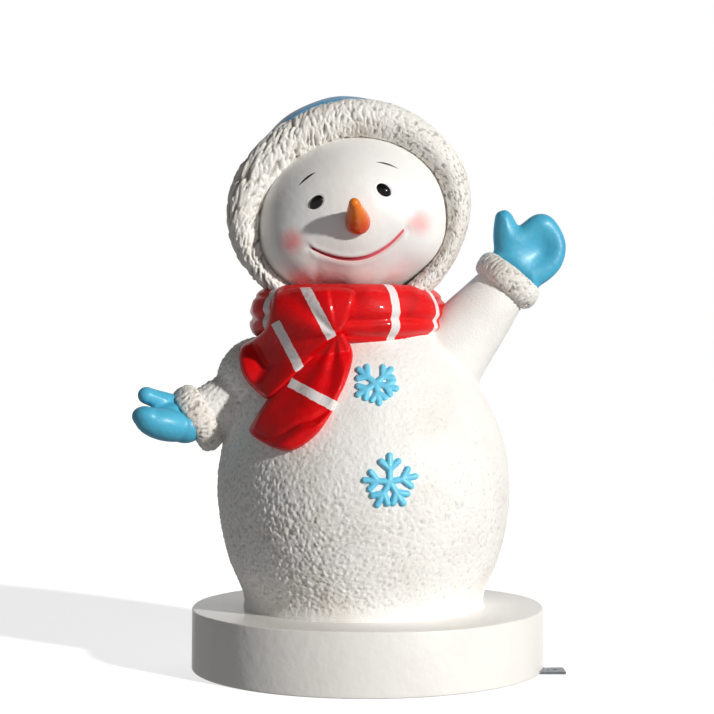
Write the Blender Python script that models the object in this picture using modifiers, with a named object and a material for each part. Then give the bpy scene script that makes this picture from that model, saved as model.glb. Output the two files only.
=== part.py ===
"""Painted fibreglass garden snowman on a round plinth: moulded shells, resin castings and the steel inside.

Metres, +Z up. The origin is the plinth's centre on the ground, and the face looks along -Y.
"""

import math

import bmesh
import bpy
from mathutils import Matrix, Vector

GAP = 0.0003  # left between two pieces that touch
SHELL = 0.005  # laminate thickness of the mouldings

# Plinth
PLINTH_RADIUS = 0.350
PLINTH_HEIGHT = 0.120
PLINTH_WALL = 0.006
DECK_THICKNESS = 0.008
PLINTH_EDGE_RADIUS = 0.010
DECK_HOLE_RADIUS = 0.034

# Torso: a turned pear, as (height, radius) pairs from the deck to the neck
TORSO_X = -0.0075
TORSO_OUTLINE = (
    (PLINTH_HEIGHT + GAP, 0.208),
    (0.135, 0.226),
    (0.160, 0.243),
    (0.213, 0.266),
    (0.280, 0.2835),
    (0.352, 0.2905),
    (0.420, 0.285),
    (0.490, 0.266),
    (0.550, 0.237),
    (0.605, 0.202),
    (0.660, 0.157),
    (0.718, 0.104),
)
TORSO_STEPS = 32
ARM_HOLE_RADIUS = 0.034

# Steel base and post
BAR_WIDTH = 0.050
BAR_THICKNESS = 0.005
CROSS_BAR_Y = -0.079
LUG_REACH = 0.385
LUG_HOLE_RADIUS = 0.006
LUG_HOLE_INSET = 0.020
DRIP_GROOVE = (0.351, 0.353)  # across each bar, so that rain doesn't run in under the plinth
DRIP_GROOVE_DEPTH = 0.001
FOOT_PLATE = 0.200
PLATE_THICKNESS = 0.006
POST_RADIUS = 0.02415
POST_WALL = 0.0032
POST_TOP = 1.030
FLANGE_RADIUS = 0.090
BOLT_CIRCLE_RADIUS = 0.065
BOLT_RADIUS = 0.005
BOLT_HEAD_RADIUS = 0.0092
BOLT_HEAD_HEIGHT = 0.0064
BOLT_LENGTH = 0.026
NUT_HEIGHT = 0.008
ROD_RADIUS = 0.008
HEAD_PLATE_RADIUS = 0.060

# Head and hat, in the head's own frame: +X to its left hand, -Y forwards, +Z to its crown
HEAD_CENTRE = Vector((-0.0286, -0.020, 0.890))
HEAD_TILT = math.radians(-11)
HEAD_RADII = (0.196, 0.185, 0.162)
HEAD_BACK = 0.010
BALL_SEGMENTS = 24
BALL_RINGS = 14
NECK_RADIUS = 0.072
NECK_BOTTOM = 0.700
NECK_TOP = 0.790
TRIM_INNER = (-0.003, 0.000, 0.185, 0.153)  # ellipse as centre x, centre z, half width, half height
TRIM_OUTER = (-0.002, 0.025, 0.243, 0.212)
TRIM_Y = -0.050
TRIM_HALF_DEPTH = 0.044
TRIM_STEPS = 28
CROWN_CENTRE = (-0.003, 0.045, 0.020)
CROWN_RADII = (0.222, 0.205, 0.228)
CROWN_FRONT = -0.030
EYE_SEATS = {"eye_right": (-0.0640, 0.0305, 56), "eye_left": (0.0665, 0.0290, -39)}  # x, z, slant in degrees
EYE_RADII = (0.0125, 0.010, 0.0165)
NOSE_SEAT = (0.006, -0.026)
NOSE_LENGTH = 0.078
NOSE_RADIUS = 0.0235
NOSE_LIFT = math.radians(29.5)

# Scarf
WRAP_CENTRE = Vector((-0.040, -0.010, 0.697))
WRAP_RADIUS = 0.150
WRAP_HALF_THICKNESS = 0.045
WRAP_HALF_HEIGHT = 0.058
WRAP_STEPS = 28
WRAP_SWEEP = (144, -144, 11)  # first and last angle of the roll's section, and its points
TAIL_THICKNESS = 0.030
FOLD_THICKNESS = 0.020

# Arms: shoulder, wrist, then the sleeve's radius at each
WAVING_SHOULDER = Vector((0.117, -0.020, 0.568))
WAVING_WRIST = Vector((0.279, -0.020, 0.767))
WAVING_RADII = (0.096, 0.050)
OPEN_SHOULDER = Vector((-0.187, 0.000, 0.585))
OPEN_WRIST = Vector((-0.336, -0.030, 0.4955))
OPEN_RADII = (0.090, 0.050)
SLEEVE_STEPS = 20
CUFF_INNER = 0.046
CUFF_OUTER = 0.069
CUFF_HALF_LENGTH = 0.026
CUFF_WALL = 0.004
CUFF_STEPS = 16
CUFF_SWEEP = (90, -90, 7)
OPEN_FINGERS = Vector((-0.80, -0.58, -0.04))
OPEN_PALM = Vector((0.250, -0.300, 0.920))
ROD_REACH = 0.050  # into the mitten
ROD_START_REACH = 0.034  # from the post's axis

# Snowflakes: centre x, centre z, reach, turn of the first ray, prong start and prong length as shares
RAYS = 5
SNOWFLAKE_THICKNESS = 0.009
UPPER_SNOWFLAKE = (0.015, 0.566, 0.046, math.radians(60), 0.50, 0.36)
LOWER_SNOWFLAKE = (0.041, 0.386, 0.054, math.radians(93), 0.48, 0.38)


def clear_scene():
    for obj in list(bpy.data.objects):
        bpy.data.objects.remove(obj)


def new_collection(name):
    made = bpy.data.collections.new(name)
    bpy.context.scene.collection.children.link(made)
    return made


def paint(name, colour, roughness, metallic=0.0):
    made = bpy.data.materials.new(name)
    made.use_nodes = True
    shader = made.node_tree.nodes["Principled BSDF"]
    shader.inputs["Base Color"].default_value = (*colour, 1.0)
    shader.inputs["Roughness"].default_value = roughness
    shader.inputs["Metallic"].default_value = metallic
    return made


def add_mesh(name, mesh, where=None):
    """A new object for this mesh: a helper until finish() makes it a part."""
    obj = bpy.data.objects.new(name, mesh)
    HELPERS.objects.link(obj)
    obj.hide_render = True
    obj.display_type = "WIRE"
    if where is not None:
        obj.matrix_world = where
    return obj


def from_bmesh(name, bm, where=None):
    mesh = bpy.data.meshes.new(name)
    bm.to_mesh(mesh)
    bm.free()
    return add_mesh(name, mesh, where)


def settle(obj):
    """Makes the evaluated shape the object's own mesh, in world space, with no modifiers left."""
    bpy.context.view_layer.update()
    graph = bpy.context.evaluated_depsgraph_get()
    mesh = bpy.data.meshes.new_from_object(obj.evaluated_get(graph))
    mesh.transform(obj.matrix_world)
    name = obj.name
    bpy.data.objects.remove(obj)
    return add_mesh(name, mesh)


def boolean(obj, tool, operation="DIFFERENCE"):
    modifier = obj.modifiers.new(operation.title(), "BOOLEAN")
    modifier.operation = operation
    modifier.object = tool
    return settle(obj)


def cut(obj, *tools):
    for tool in tools:
        obj = boolean(obj, tool)
    return obj


def joined(obj, *others):
    for other in others:
        obj = boolean(obj, other, "UNION")
    return obj


def finish(obj, name, material):
    """Moves a helper into the snowman's collection as a named part with its paint."""
    HELPERS.objects.unlink(obj)
    PARTS.objects.link(obj)
    obj.name = name
    obj.hide_render = False
    obj.display_type = "TEXTURED"
    obj.data.materials.clear()
    obj.data.materials.append(material)
    obj.data.shade_smooth()
    obj.data.set_sharp_from_angle(angle=math.radians(35))
    return obj


def turned(name, profile, steps, where=None, closed=False, wall=0.0):
    """Revolves (radius, height) points about Z. They run down the outer side, top to bottom."""
    bm = bmesh.new()
    verts = [bm.verts.new((radius, 0, height)) for radius, height in profile]
    ends = verts[1:] + verts[:1] if closed else verts[1:]
    for a, b in zip(verts, ends):
        bm.edges.new((a, b))
    obj = from_bmesh(name, bm, where)
    screw = obj.modifiers.new("Turn", "SCREW")
    screw.steps = screw.render_steps = steps
    screw.use_merge_vertices = True
    screw.merge_threshold = 0.00001
    screw.use_smooth_shade = False
    if wall:
        solidify = obj.modifiers.new("Wall", "SOLIDIFY")
        solidify.thickness = wall
        solidify.offset = -1
    return settle(obj)


def arc(centre, radii, start, end, count):
    """Points of an elliptic arc, from start to end in degrees."""
    angles = [math.radians(start + (end - start) * i / (count - 1)) for i in range(count)]
    return [(centre[0] + radii[0] * math.cos(a), centre[1] + radii[1] * math.sin(a)) for a in angles]


def ellipsoid(name, centre, radii, where=None, segments=20, rings=12, turn=0.0):
    """turn is about the frame's Y axis."""
    bm = bmesh.new()
    bmesh.ops.create_uvsphere(bm, u_segments=segments, v_segments=rings, radius=1.0)
    place = Matrix.Translation(centre) @ Matrix.Rotation(turn, 4, "Y") @ Matrix.Diagonal((*radii, 1))
    bmesh.ops.transform(bm, matrix=place, verts=bm.verts)
    return settle(from_bmesh(name, bm, where))


def cylinder(name, radius, bottom, top, where=None, segments=20):
    bm = bmesh.new()
    bmesh.ops.create_cone(bm, cap_ends=True, segments=segments, radius1=radius, radius2=radius, depth=top - bottom)
    bmesh.ops.translate(bm, vec=(0, 0, (top + bottom) / 2), verts=bm.verts)
    return settle(from_bmesh(name, bm, where))


def block(name, low, high, where=None):
    bm = bmesh.new()
    bmesh.ops.create_cube(bm, size=1.0)
    low, high = Vector(low), Vector(high)
    place = Matrix.Translation((low + high) / 2) @ Matrix.Diagonal((*(high - low), 1))
    bmesh.ops.transform(bm, matrix=place, verts=bm.verts)
    return settle(from_bmesh(name, bm, where))


def frame_along(origin, direction, palm=Vector((0, -1, 0))):
    """A frame at origin with +Z along direction, and -Y turned as far towards palm as it can be."""
    z = direction.normalized()
    y = (-palm + palm.dot(z) * z).normalized()
    x = y.cross(z)
    return Matrix.Translation(origin) @ Matrix((x, y, z)).transposed().to_4x4()


def prism(name, outline, near, far):
    """An outline in X and Z, run through from y = near to y = far."""
    curve = bpy.data.curves.new(name, "CURVE")
    curve.dimensions = "2D"
    curve.fill_mode = "BOTH"
    curve.extrude = (far - near) / 2
    spline = curve.splines.new("POLY")
    spline.points.add(len(outline) - 1)
    for point, (x, z) in zip(spline.points, outline):
        point.co = (x, z, 0, 1)
    spline.use_cyclic_u = True
    place = Matrix.Translation((0, (near + far) / 2, 0)) @ Matrix.Rotation(math.radians(90), 4, "X")
    obj = settle(add_mesh(name, curve, place))
    bm = bmesh.new()
    bm.from_mesh(obj.data)
    bmesh.ops.remove_doubles(bm, verts=bm.verts, dist=0.00001)
    bmesh.ops.recalc_face_normals(bm, faces=bm.faces)
    bm.to_mesh(obj.data)
    bm.free()
    return obj


def rod(name, points, radius):
    """A round bar along straight runs between the points."""
    curve = bpy.data.curves.new(name, "CURVE")
    curve.dimensions = "3D"
    curve.bevel_depth = radius
    curve.bevel_resolution = 2
    curve.use_fill_caps = True
    spline = curve.splines.new("POLY")
    spline.points.add(len(points) - 1)
    for point, place in zip(spline.points, points):
        point.co = (*place, 1)
    obj = settle(add_mesh(name, curve))
    bm = bmesh.new()
    bm.from_mesh(obj.data)
    bmesh.ops.remove_doubles(bm, verts=bm.verts, dist=0.00001)
    bm.to_mesh(obj.data)
    bm.free()
    return obj


# The outer shape of each big form, which can be grown to cut its neighbours.


def torso_line():
    """The torso's outer side, top to bottom."""
    return [(radius, height) for height, radius in reversed(TORSO_OUTLINE)]


def torso_form(grow):
    line = torso_line()
    (top_radius, top), (bottom_radius, bottom) = line[0], line[-1]
    profile = [(0, top + grow), (top_radius + grow, top + grow)]
    profile += [(radius + grow, height) for radius, height in line]
    profile += [(bottom_radius + grow, bottom - 0.02), (0, bottom - 0.02)]
    return turned("torso_form", profile, TORSO_STEPS, Matrix.Translation((TORSO_X, 0, 0)))


def head_frame():
    return Matrix.Translation(HEAD_CENTRE) @ Matrix.Rotation(HEAD_TILT, 4, "Y")


def head_form(grow):
    radii = [radius + grow for radius in HEAD_RADII]
    return ellipsoid("head_form", (0, 0, 0), radii, head_frame(), BALL_SEGMENTS, BALL_RINGS)


def wrap_form(grow):
    radii = (WRAP_HALF_THICKNESS + grow, WRAP_HALF_HEIGHT + grow)
    profile = arc((WRAP_RADIUS, 0), radii, *WRAP_SWEEP)
    return turned("wrap_form", profile, WRAP_STEPS, Matrix.Translation(WRAP_CENTRE), closed=True)


def sleeve_form(shoulder, wrist, radii, grow):
    length = (wrist - shoulder).length
    start, end = -radii[0], length
    slope = (radii[1] - radii[0]) / length
    profile = [(0, end + grow), (radii[1] + grow, end + grow)]
    profile += [(radii[0] + slope * height + grow, height) for height in (length * 0.5, 0)]
    profile += arc((0, 0), (radii[0] + grow, radii[0] + grow), -18, -90, 5)
    return turned("sleeve_form", profile, SLEEVE_STEPS, frame_along(shoulder, wrist - shoulder))


def cuff_form(at_wrist, grow):
    radii = (CUFF_OUTER - CUFF_INNER + grow, CUFF_HALF_LENGTH + grow)
    inside = CUFF_INNER - CUFF_WALL
    profile = arc((CUFF_INNER, 0), radii, *CUFF_SWEEP) + [(inside, -radii[1]), (inside, radii[1])]
    return turned("cuff_form", profile, CUFF_STEPS, at_wrist, closed=True)


def trim_section(turn, grow, first, last, count):
    """Points of the fur roll's section where the roll has gone round the face by turn."""
    def on(ellipse):
        x, z, half_width, half_height = ellipse
        return Vector((x + half_width * math.cos(turn), 0, z + half_height * math.sin(turn)))

    inner, outer = on(TRIM_INNER), on(TRIM_OUTER)
    centre, outwards = (inner + outer) / 2, (outer - inner).normalized()
    half_width = (outer - inner).length / 2 + grow
    half_depth = TRIM_HALF_DEPTH + grow
    centre.y = TRIM_Y
    points = []
    for i in range(count):
        angle = math.radians(first + (last - first) * i / (count - 1))
        points.append(centre + outwards * half_width * math.cos(angle)
                      + Vector((0, half_depth * math.sin(angle), 0)))
    return points


def trim_ring(name, grow, first, last, count, closed):
    """Lofts the fur roll, whose section grows from the chin to the brow."""
    bm = bmesh.new()
    rows = []
    for step in range(TRIM_STEPS):
        section = trim_section(math.tau * step / TRIM_STEPS, grow, first, last, count)
        rows.append([bm.verts.new(point) for point in section])
    for row, following in zip(rows, rows[1:] + rows[:1]):
        pairs = range(count if closed else count - 1)
        for i in pairs:
            j = (i + 1) % count
            bm.faces.new((row[i], following[i], following[j], row[j]))
    bmesh.ops.recalc_face_normals(bm, faces=bm.faces)
    return from_bmesh(name, bm, head_frame())


def trim_form(grow):
    return settle(trim_ring("trim_form", grow, 0, 324, 10, closed=True))


# The parts


def make_plinth():
    edge = arc((PLINTH_RADIUS - PLINTH_EDGE_RADIUS, PLINTH_HEIGHT - PLINTH_EDGE_RADIUS),
               (PLINTH_EDGE_RADIUS, PLINTH_EDGE_RADIUS), 90, 0, 4)
    inside = PLINTH_RADIUS - PLINTH_WALL
    underside = PLINTH_HEIGHT - DECK_THICKNESS
    profile = [(DECK_HOLE_RADIUS, PLINTH_HEIGHT), *edge, (PLINTH_RADIUS, 0), (inside, 0),
               (inside, underside), (DECK_HOLE_RADIUS, underside)]
    drum = turned("plinth", profile, 40, closed=True)
    half = BAR_WIDTH / 2 + GAP
    top = BAR_THICKNESS + GAP
    right_slot = block("slot", (0.25, CROSS_BAR_Y - half, -0.01), (0.40, CROSS_BAR_Y + half, top))
    rear_slot = block("slot", (-half, 0.25, -0.01), (half, 0.40, top))
    holes = [cylinder("hole", BOLT_RADIUS + GAP, 0.08, 0.14, place, 12) for place in bolt_places()]
    finish(cut(drum, right_slot, rear_slot, *holes), "plinth_drum", WHITE_GLOSS)


def bolt_places():
    """The four deck bolts, round the post."""
    for i in range(4):
        angle = math.tau * (i + 0.5) / 4
        yield Matrix.Translation((TORSO_X + BOLT_CIRCLE_RADIUS * math.cos(angle),
                                  BOLT_CIRCLE_RADIUS * math.sin(angle), 0))


def make_base_bars():
    half = BAR_WIDTH / 2
    wide = half + 0.01
    groove_near, groove_far = DRIP_GROOVE
    groove_bottom = BAR_THICKNESS - DRIP_GROOVE_DEPTH
    hole_reach = LUG_REACH - LUG_HOLE_INSET

    cross = block("bar", (-0.322, CROSS_BAR_Y - half, 0), (LUG_REACH, CROSS_BAR_Y + half, BAR_THICKNESS))
    groove = block("groove", (groove_near, CROSS_BAR_Y - wide, groove_bottom),
                   (groove_far, CROSS_BAR_Y + wide, 0.01))
    place = Matrix.Translation((hole_reach, CROSS_BAR_Y, 0))
    cross = cut(cross, groove, cylinder("hole", LUG_HOLE_RADIUS, -0.01, 0.02, place, 16))
    finish(cross, "base_cross_bar", GALVANISED)

    rear = block("bar", (-half, CROSS_BAR_Y + half + GAP, 0), (half, LUG_REACH, BAR_THICKNESS))
    groove = block("groove", (-wide, groove_near, groove_bottom), (wide, groove_far, 0.01))
    place = Matrix.Translation((0, hole_reach, 0))
    rear = cut(rear, groove, cylinder("hole", LUG_HOLE_RADIUS, -0.01, 0.02, place, 16))
    finish(rear, "base_rear_bar", GALVANISED)


def make_post():
    half = FOOT_PLATE / 2
    bottom = BAR_THICKNESS + GAP
    top = bottom + PLATE_THICKNESS
    plate = block("plate", (TORSO_X - half, -half, bottom), (TORSO_X + half, half, top))
    finish(plate, "post_foot_plate", GALVANISED)

    axis = Matrix.Translation((TORSO_X, 0, 0))
    inside = POST_RADIUS - POST_WALL
    profile = [(inside, POST_TOP), (POST_RADIUS, POST_TOP), (POST_RADIUS, top + GAP), (inside, top + GAP)]
    finish(turned("post", profile, 24, axis, closed=True), "centre_post", GALVANISED)

    under_deck = PLINTH_HEIGHT - DECK_THICKNESS - GAP
    bore = POST_RADIUS + 2 * GAP
    profile = [(bore, under_deck), (FLANGE_RADIUS, under_deck),
               (FLANGE_RADIUS, under_deck - PLATE_THICKNESS), (bore, under_deck - PLATE_THICKNESS)]
    flange = turned("flange", profile, 16, axis, closed=True)
    holes = [cylinder("hole", BOLT_RADIUS + GAP, 0.08, 0.14, place, 12) for place in bolt_places()]
    finish(cut(flange, *holes), "deck_flange", GALVANISED)

    head_plate = cylinder("plate", HEAD_PLATE_RADIUS, POST_TOP + GAP, POST_TOP + GAP + PLATE_THICKNESS, axis, 24)
    finish(head_plate, "head_plate", GALVANISED)


def make_fasteners():
    head_bottom = PLINTH_HEIGHT + GAP
    head = cylinder("bolt", BOLT_HEAD_RADIUS, head_bottom, head_bottom + BOLT_HEAD_HEIGHT, segments=6)
    shank = cylinder("shank", BOLT_RADIUS, head_bottom - BOLT_LENGTH, head_bottom + 0.002, segments=12)
    bolt = joined(head, shank)

    nut_top = PLINTH_HEIGHT - DECK_THICKNESS - PLATE_THICKNESS - 2 * GAP
    nut = cylinder("nut", BOLT_HEAD_RADIUS, nut_top - NUT_HEIGHT, nut_top, segments=6)
    nut = cut(nut, cylinder("bore", BOLT_RADIUS + GAP, 0.08, 0.12, segments=12))

    for i, place in enumerate(bolt_places(), 1):
        for master, name in ((bolt, "deck_bolt"), (nut, "deck_nut")):
            copy = add_mesh(name, master.data.copy(), place)
            finish(copy, f"{name}_{i}", ZINC)


def make_torso():
    arm_holes = [
        cylinder("hole", ARM_HOLE_RADIUS, -0.10, 0.20, frame_along(shoulder, wrist - shoulder), 20)
        for shoulder, wrist in ((WAVING_SHOULDER, WAVING_WRIST), (OPEN_SHOULDER, OPEN_WRIST))
    ]
    shell = turned("torso", torso_line(), TORSO_STEPS, Matrix.Translation((TORSO_X, 0, 0)), wall=SHELL)
    shell = cut(shell, *arm_holes)
    for name, near, far in (("torso_front_shell", -0.4, -GAP / 2), ("torso_rear_shell", GAP / 2, 0.4)):
        half = block("half", (-0.4, near, 0), (0.4, far, 1))
        copy = add_mesh(name, shell.data.copy())
        finish(boolean(copy, half, "INTERSECT"), name, SNOW)


def make_base_fillet():
    """The bead of laminate between the torso and the deck."""
    line = [(radius + 2 * GAP, height) for radius, height in torso_line() if height < 0.16]
    seat = line[-1][1] + GAP
    profile = [(0.2375, 0.1400), (0.2350, 0.1310), (0.2380, 0.1240), (0.2480, seat)]
    profile += [(line[-1][0] + GAP, seat)]
    profile += [(radius, height) for radius, height in reversed(line) if seat < height < 0.145]
    bead = turned("fillet", profile, TORSO_STEPS, Matrix.Translation((TORSO_X, 0, 0)), closed=True)
    finish(cut(bead, torso_form(GAP)), "base_fillet", SNOW)


def make_neck():
    place = Matrix.Translation((TORSO_X - 0.012, -0.006, 0))
    inside = NECK_RADIUS - SHELL
    profile = [(inside, NECK_TOP), (NECK_RADIUS, NECK_TOP), (NECK_RADIUS, NECK_BOTTOM), (inside, NECK_BOTTOM)]
    finish(turned("neck", profile, 28, place, closed=True), "neck_collar", RAW_LAMINATE)
    return cylinder("neck_form", NECK_RADIUS + 2 * GAP, NECK_BOTTOM - 0.01, NECK_TOP + 0.01, place, 28)


def open_shell(name, centre, radii, side, plane):
    """An ellipsoid wall, kept on one side of a plane across the head's Y axis."""
    bm = bmesh.new()
    bmesh.ops.create_uvsphere(bm, u_segments=BALL_SEGMENTS, v_segments=BALL_RINGS, radius=1.0)
    place = Matrix.Translation(centre) @ Matrix.Diagonal((*radii, 1))
    bmesh.ops.transform(bm, matrix=place, verts=bm.verts)
    bmesh.ops.bisect_plane(bm, geom=bm.verts[:] + bm.edges[:] + bm.faces[:], dist=0.00001,
                           plane_co=(0, plane, 0), plane_no=(0, side, 0), clear_outer=True)
    obj = from_bmesh(name, bm, head_frame())
    solidify = obj.modifiers.new("Wall", "SOLIDIFY")
    solidify.thickness = SHELL
    solidify.offset = -1
    return settle(obj)


def make_head(neck):
    eye_frames = [frame for frame, _ in eye_places()]
    sockets = [eye_form(frame, GAP) for frame in eye_frames]
    shell = open_shell("head", (0, 0, 0), HEAD_RADII, 1, HEAD_BACK)
    shell = cut(shell, neck, nose_dowel_form(GAP), *sockets)
    finish(shell, "head_shell", WHITE_GLOSS)
    for (frame, name) in eye_places():
        finish(eye_form(frame, 0), name, BLACK_GLOSS)


def head_surface(x, z):
    """The point of the head's front at x and z of its own frame, and the outward normal there."""
    a, b, c = HEAD_RADII
    y = -b * math.sqrt(1 - (x / a) ** 2 - (z / c) ** 2)
    return Vector((x, y, z)), Vector((x / a**2, y / b**2, z / c**2)).normalized()


def eye_places():
    """A frame on the face for each eye, turned so that its long axis is +Z."""
    for name, (x, z, slant) in EYE_SEATS.items():
        point, normal = head_surface(x, z)
        frame = Matrix.Translation(point) @ normal.to_track_quat("-Y", "Z").to_matrix().to_4x4()
        yield frame @ Matrix.Rotation(math.radians(slant), 4, "Y"), name


def eye_form(frame, grow):
    radii = [radius + grow for radius in EYE_RADII]
    return ellipsoid("eye", (0, 0.004, 0), radii, head_frame() @ frame, 14, 8)


def nose_frame():
    point, _ = head_surface(*NOSE_SEAT)
    forwards = Vector((-0.06, -math.cos(NOSE_LIFT), math.sin(NOSE_LIFT)))
    return head_frame() @ frame_along(point, forwards, Vector((0, 0, 1)))


def nose_dowel_form(grow):
    return cylinder("dowel", 0.005 + grow, -0.030, 0.018 + grow, nose_frame(), 12)


def make_nose():
    line = [(0.0, NOSE_LENGTH), (0.0050, NOSE_LENGTH - 0.0015), (0.0080, NOSE_LENGTH - 0.006),
            (0.0115, 0.050), (0.0165, 0.030), (0.0205, 0.018), (NOSE_RADIUS, 0.006),
            (0.0225, -0.006), (0.0150, -0.014), (0.0, -0.014)]
    nose = turned("nose", line, 16, nose_frame())
    nose = cut(nose, head_form(GAP), nose_dowel_form(GAP))
    finish(nose, "carrot_nose", ORANGE)
    finish(nose_dowel_form(0), "nose_dowel", GALVANISED)


def make_hat(wrap, neck):
    torso = torso_form(GAP)
    crown = open_shell("crown", CROWN_CENTRE, CROWN_RADII, -1, CROWN_FRONT)
    finish(largest(cut(crown, wrap, neck, torso, trim_form(GAP))), "hat_crown", BLUE)

    trim = trim_ring("trim", 0, -144, 108, 8, closed=False)
    solidify = trim.modifiers.new("Wall", "SOLIDIFY")
    solidify.thickness = SHELL
    solidify.offset = -1
    trim = cut(settle(trim), head_form(GAP), wrap, neck, torso)
    finish(largest(trim), "hat_fur_trim", FUR)


def make_scarf(neck):
    profile = arc((WRAP_RADIUS, 0), (WRAP_HALF_THICKNESS, WRAP_HALF_HEIGHT), *WRAP_SWEEP)
    wrap = turned("wrap", profile, WRAP_STEPS, Matrix.Translation(WRAP_CENTRE), wall=SHELL)
    finish(largest(cut(wrap, head_form(GAP), torso_form(GAP), neck)), "scarf_wrap", RED)

    supports = [torso_form(GAP), wrap_form(GAP), open_sleeve_form(GAP)]
    upper_outline = (
        (-0.127, 0.741), (-0.046, 0.739), (-0.035, 0.713), (-0.040, 0.681), (-0.059, 0.647),
        (-0.121, 0.591), (-0.191, 0.536), (-0.210, 0.551), (-0.227, 0.576), (-0.236, 0.606),
        (-0.240, 0.632), (-0.210, 0.647), (-0.187, 0.658), (-0.180, 0.694), (-0.165, 0.730),
    )
    slab = prism("slab", upper_outline, -0.40, -0.05)
    reach = joined(torso_form(TAIL_THICKNESS), wrap_form(FOLD_THICKNESS), open_sleeve_form(FOLD_THICKNESS))
    upper = cut(boolean(slab, reach, "INTERSECT"), head_form(GAP), *supports)
    finish(largest(upper), "scarf_upper_tail", RED)

    lower_outline = (
        (-0.027, 0.652), (-0.027, 0.606), (-0.037, 0.572), (-0.063, 0.517), (-0.093, 0.468),
        (-0.117, 0.446), (-0.146, 0.435), (-0.176, 0.440), (-0.221, 0.470), (-0.219, 0.483),
        (-0.204, 0.508), (-0.189, 0.5345), (-0.121, 0.5895), (-0.0585, 0.6455), (-0.052, 0.658),
    )
    slab = prism("slab", lower_outline, -0.40, -0.10)
    reach = torso_form(TAIL_THICKNESS)
    lower = cut(boolean(slab, reach, "INTERSECT"), *supports)
    finish(largest(lower), "scarf_lower_tail", RED)


def largest(obj):
    """Keeps the biggest of the bodies that a cut has left."""
    bm = bmesh.new()
    bm.from_mesh(obj.data)
    left, groups = set(bm.verts), []
    while left:
        group, edge = set(), [next(iter(left))]
        while edge:
            vert = edge.pop()
            if vert in group:
                continue
            group.add(vert)
            edge += [e.other_vert(vert) for e in vert.link_edges]
        groups.append(group)
        left -= group
    groups.sort(key=len)
    for group in groups[:-1]:
        bmesh.ops.delete(bm, geom=list(group), context="VERTS")
    bm.to_mesh(obj.data)
    bm.free()
    return obj


def open_sleeve_form(grow):
    return sleeve_form(OPEN_SHOULDER, OPEN_WRIST, OPEN_RADII, grow)


def mitten_form(frame, thumb_side):
    """A cast mitten with its fingers along +Z and a dished palm facing -Y."""
    lobes = (
        ((-0.012, 0, 0.085), (0.054, 0.024, 0.052), 0),
        ((0.005, 0, 0.105), (0.048, 0.022, 0.045), 0),
        ((0.005, 0, 0.045), (0.054, 0.030, 0.046), 0),
        ((0.066, -0.004, 0.068), (0.022, 0.020, 0.046), math.radians(33)),
    )
    solids = [
        ellipsoid("lobe", (thumb_side * x, y, z), radii, frame, 14, 8, thumb_side * turn)
        for (x, y, z), radii, turn in lobes
    ]
    dish = ellipsoid("dish", (-thumb_side * 0.014, -0.030, 0.090), (0.036, 0.019, 0.042), frame, 12, 8)
    return cut(joined(*solids), dish)


def make_arm(arm, shoulder, wrist, radii, rod_start, hand, thumb_side, wrap):
    """A sleeve, its fur cuff, the mitten and the steel rod that carries it from the post."""
    direction = wrist - shoulder
    length = direction.length
    slope = (radii[1] - radii[0]) / length
    profile = [(radii[1], length)]
    profile += [(radii[0] + slope * height, height) for height in (length * 0.5, 0)]
    profile += arc((0, 0), (radii[0], radii[0]), -18, -72, 4)
    sleeve = turned("sleeve", profile, SLEEVE_STEPS, frame_along(shoulder, direction), wall=SHELL)
    finish(largest(cut(sleeve, torso_form(GAP), wrap)), f"{arm}_arm_sleeve", SNOW)

    at_wrist = frame_along(wrist, direction)
    profile = arc((CUFF_INNER, 0), (CUFF_OUTER - CUFF_INNER, CUFF_HALF_LENGTH), *CUFF_SWEEP)
    cuff = turned("cuff", profile, CUFF_STEPS, at_wrist, wall=CUFF_WALL)
    finish(cut(cuff, sleeve_form(shoulder, wrist, radii, GAP)), f"{arm}_fur_cuff", FUR)

    along = direction.normalized()
    way = (rod_start, shoulder, wrist + along * ROD_REACH)
    finish(rod("rod", way, ROD_RADIUS), f"{arm}_arm_rod", GALVANISED)
    bore = rod("bore", (*way[:2], wrist + along * (ROD_REACH + 0.002)), ROD_RADIUS + GAP)
    below = block("below", (-0.1, -0.1, -0.1), (0.1, 0.1, 0.001), at_wrist)
    mitten = cut(mitten_form(hand, thumb_side), below, cuff_form(at_wrist, GAP), bore)
    finish(mitten, f"{arm}_mitten", BLUE)


def make_arms(wrap):
    hand = frame_along(WAVING_WRIST, WAVING_WRIST - WAVING_SHOULDER)
    rod_start = Vector((TORSO_X + ROD_START_REACH, -0.010, 0.540))
    make_arm("waving", WAVING_SHOULDER, WAVING_WRIST, WAVING_RADII, rod_start, hand, -1, wrap)

    hand = frame_along(OPEN_WRIST, OPEN_FINGERS, OPEN_PALM)
    rod_start = Vector((TORSO_X - ROD_START_REACH, -0.010, 0.600))
    make_arm("open", OPEN_SHOULDER, OPEN_WRIST, OPEN_RADII, rod_start, hand, 1, wrap)


def snowflake_outline(x, z, reach, turn, prong_start, prong_length):
    """Rays with a pair of slanting prongs each, walked round anticlockwise."""
    half = reach * 0.105
    valley = half / math.sin(math.pi / RAYS)
    slant = math.radians(52)
    along, across = math.cos(slant), math.sin(slant)
    foot = reach * prong_start
    prong = reach * prong_length
    side = [
        (foot, half),
        (foot + prong * along - half * across, half + prong * across + half * along * 0.4),
        (foot + prong * along + half * across, half + prong * across - half * along * 0.4),
        (foot + 2.1 * half, half),
        (reach - half * 0.6, half * 0.9),
        (reach, half * 0.35),
    ]
    outline = []
    for ray in range(RAYS):
        angle = turn + math.tau * ray / RAYS
        points = [(a, -b) for a, b in side] + [(a, b) for a, b in reversed(side)]
        for a, b in points:
            outline.append((x + a * math.cos(angle) - b * math.sin(angle),
                            z + a * math.sin(angle) + b * math.cos(angle)))
        middle = angle + math.pi / RAYS
        outline.append((x + valley * math.cos(middle), z + valley * math.sin(middle)))
    return outline


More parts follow.
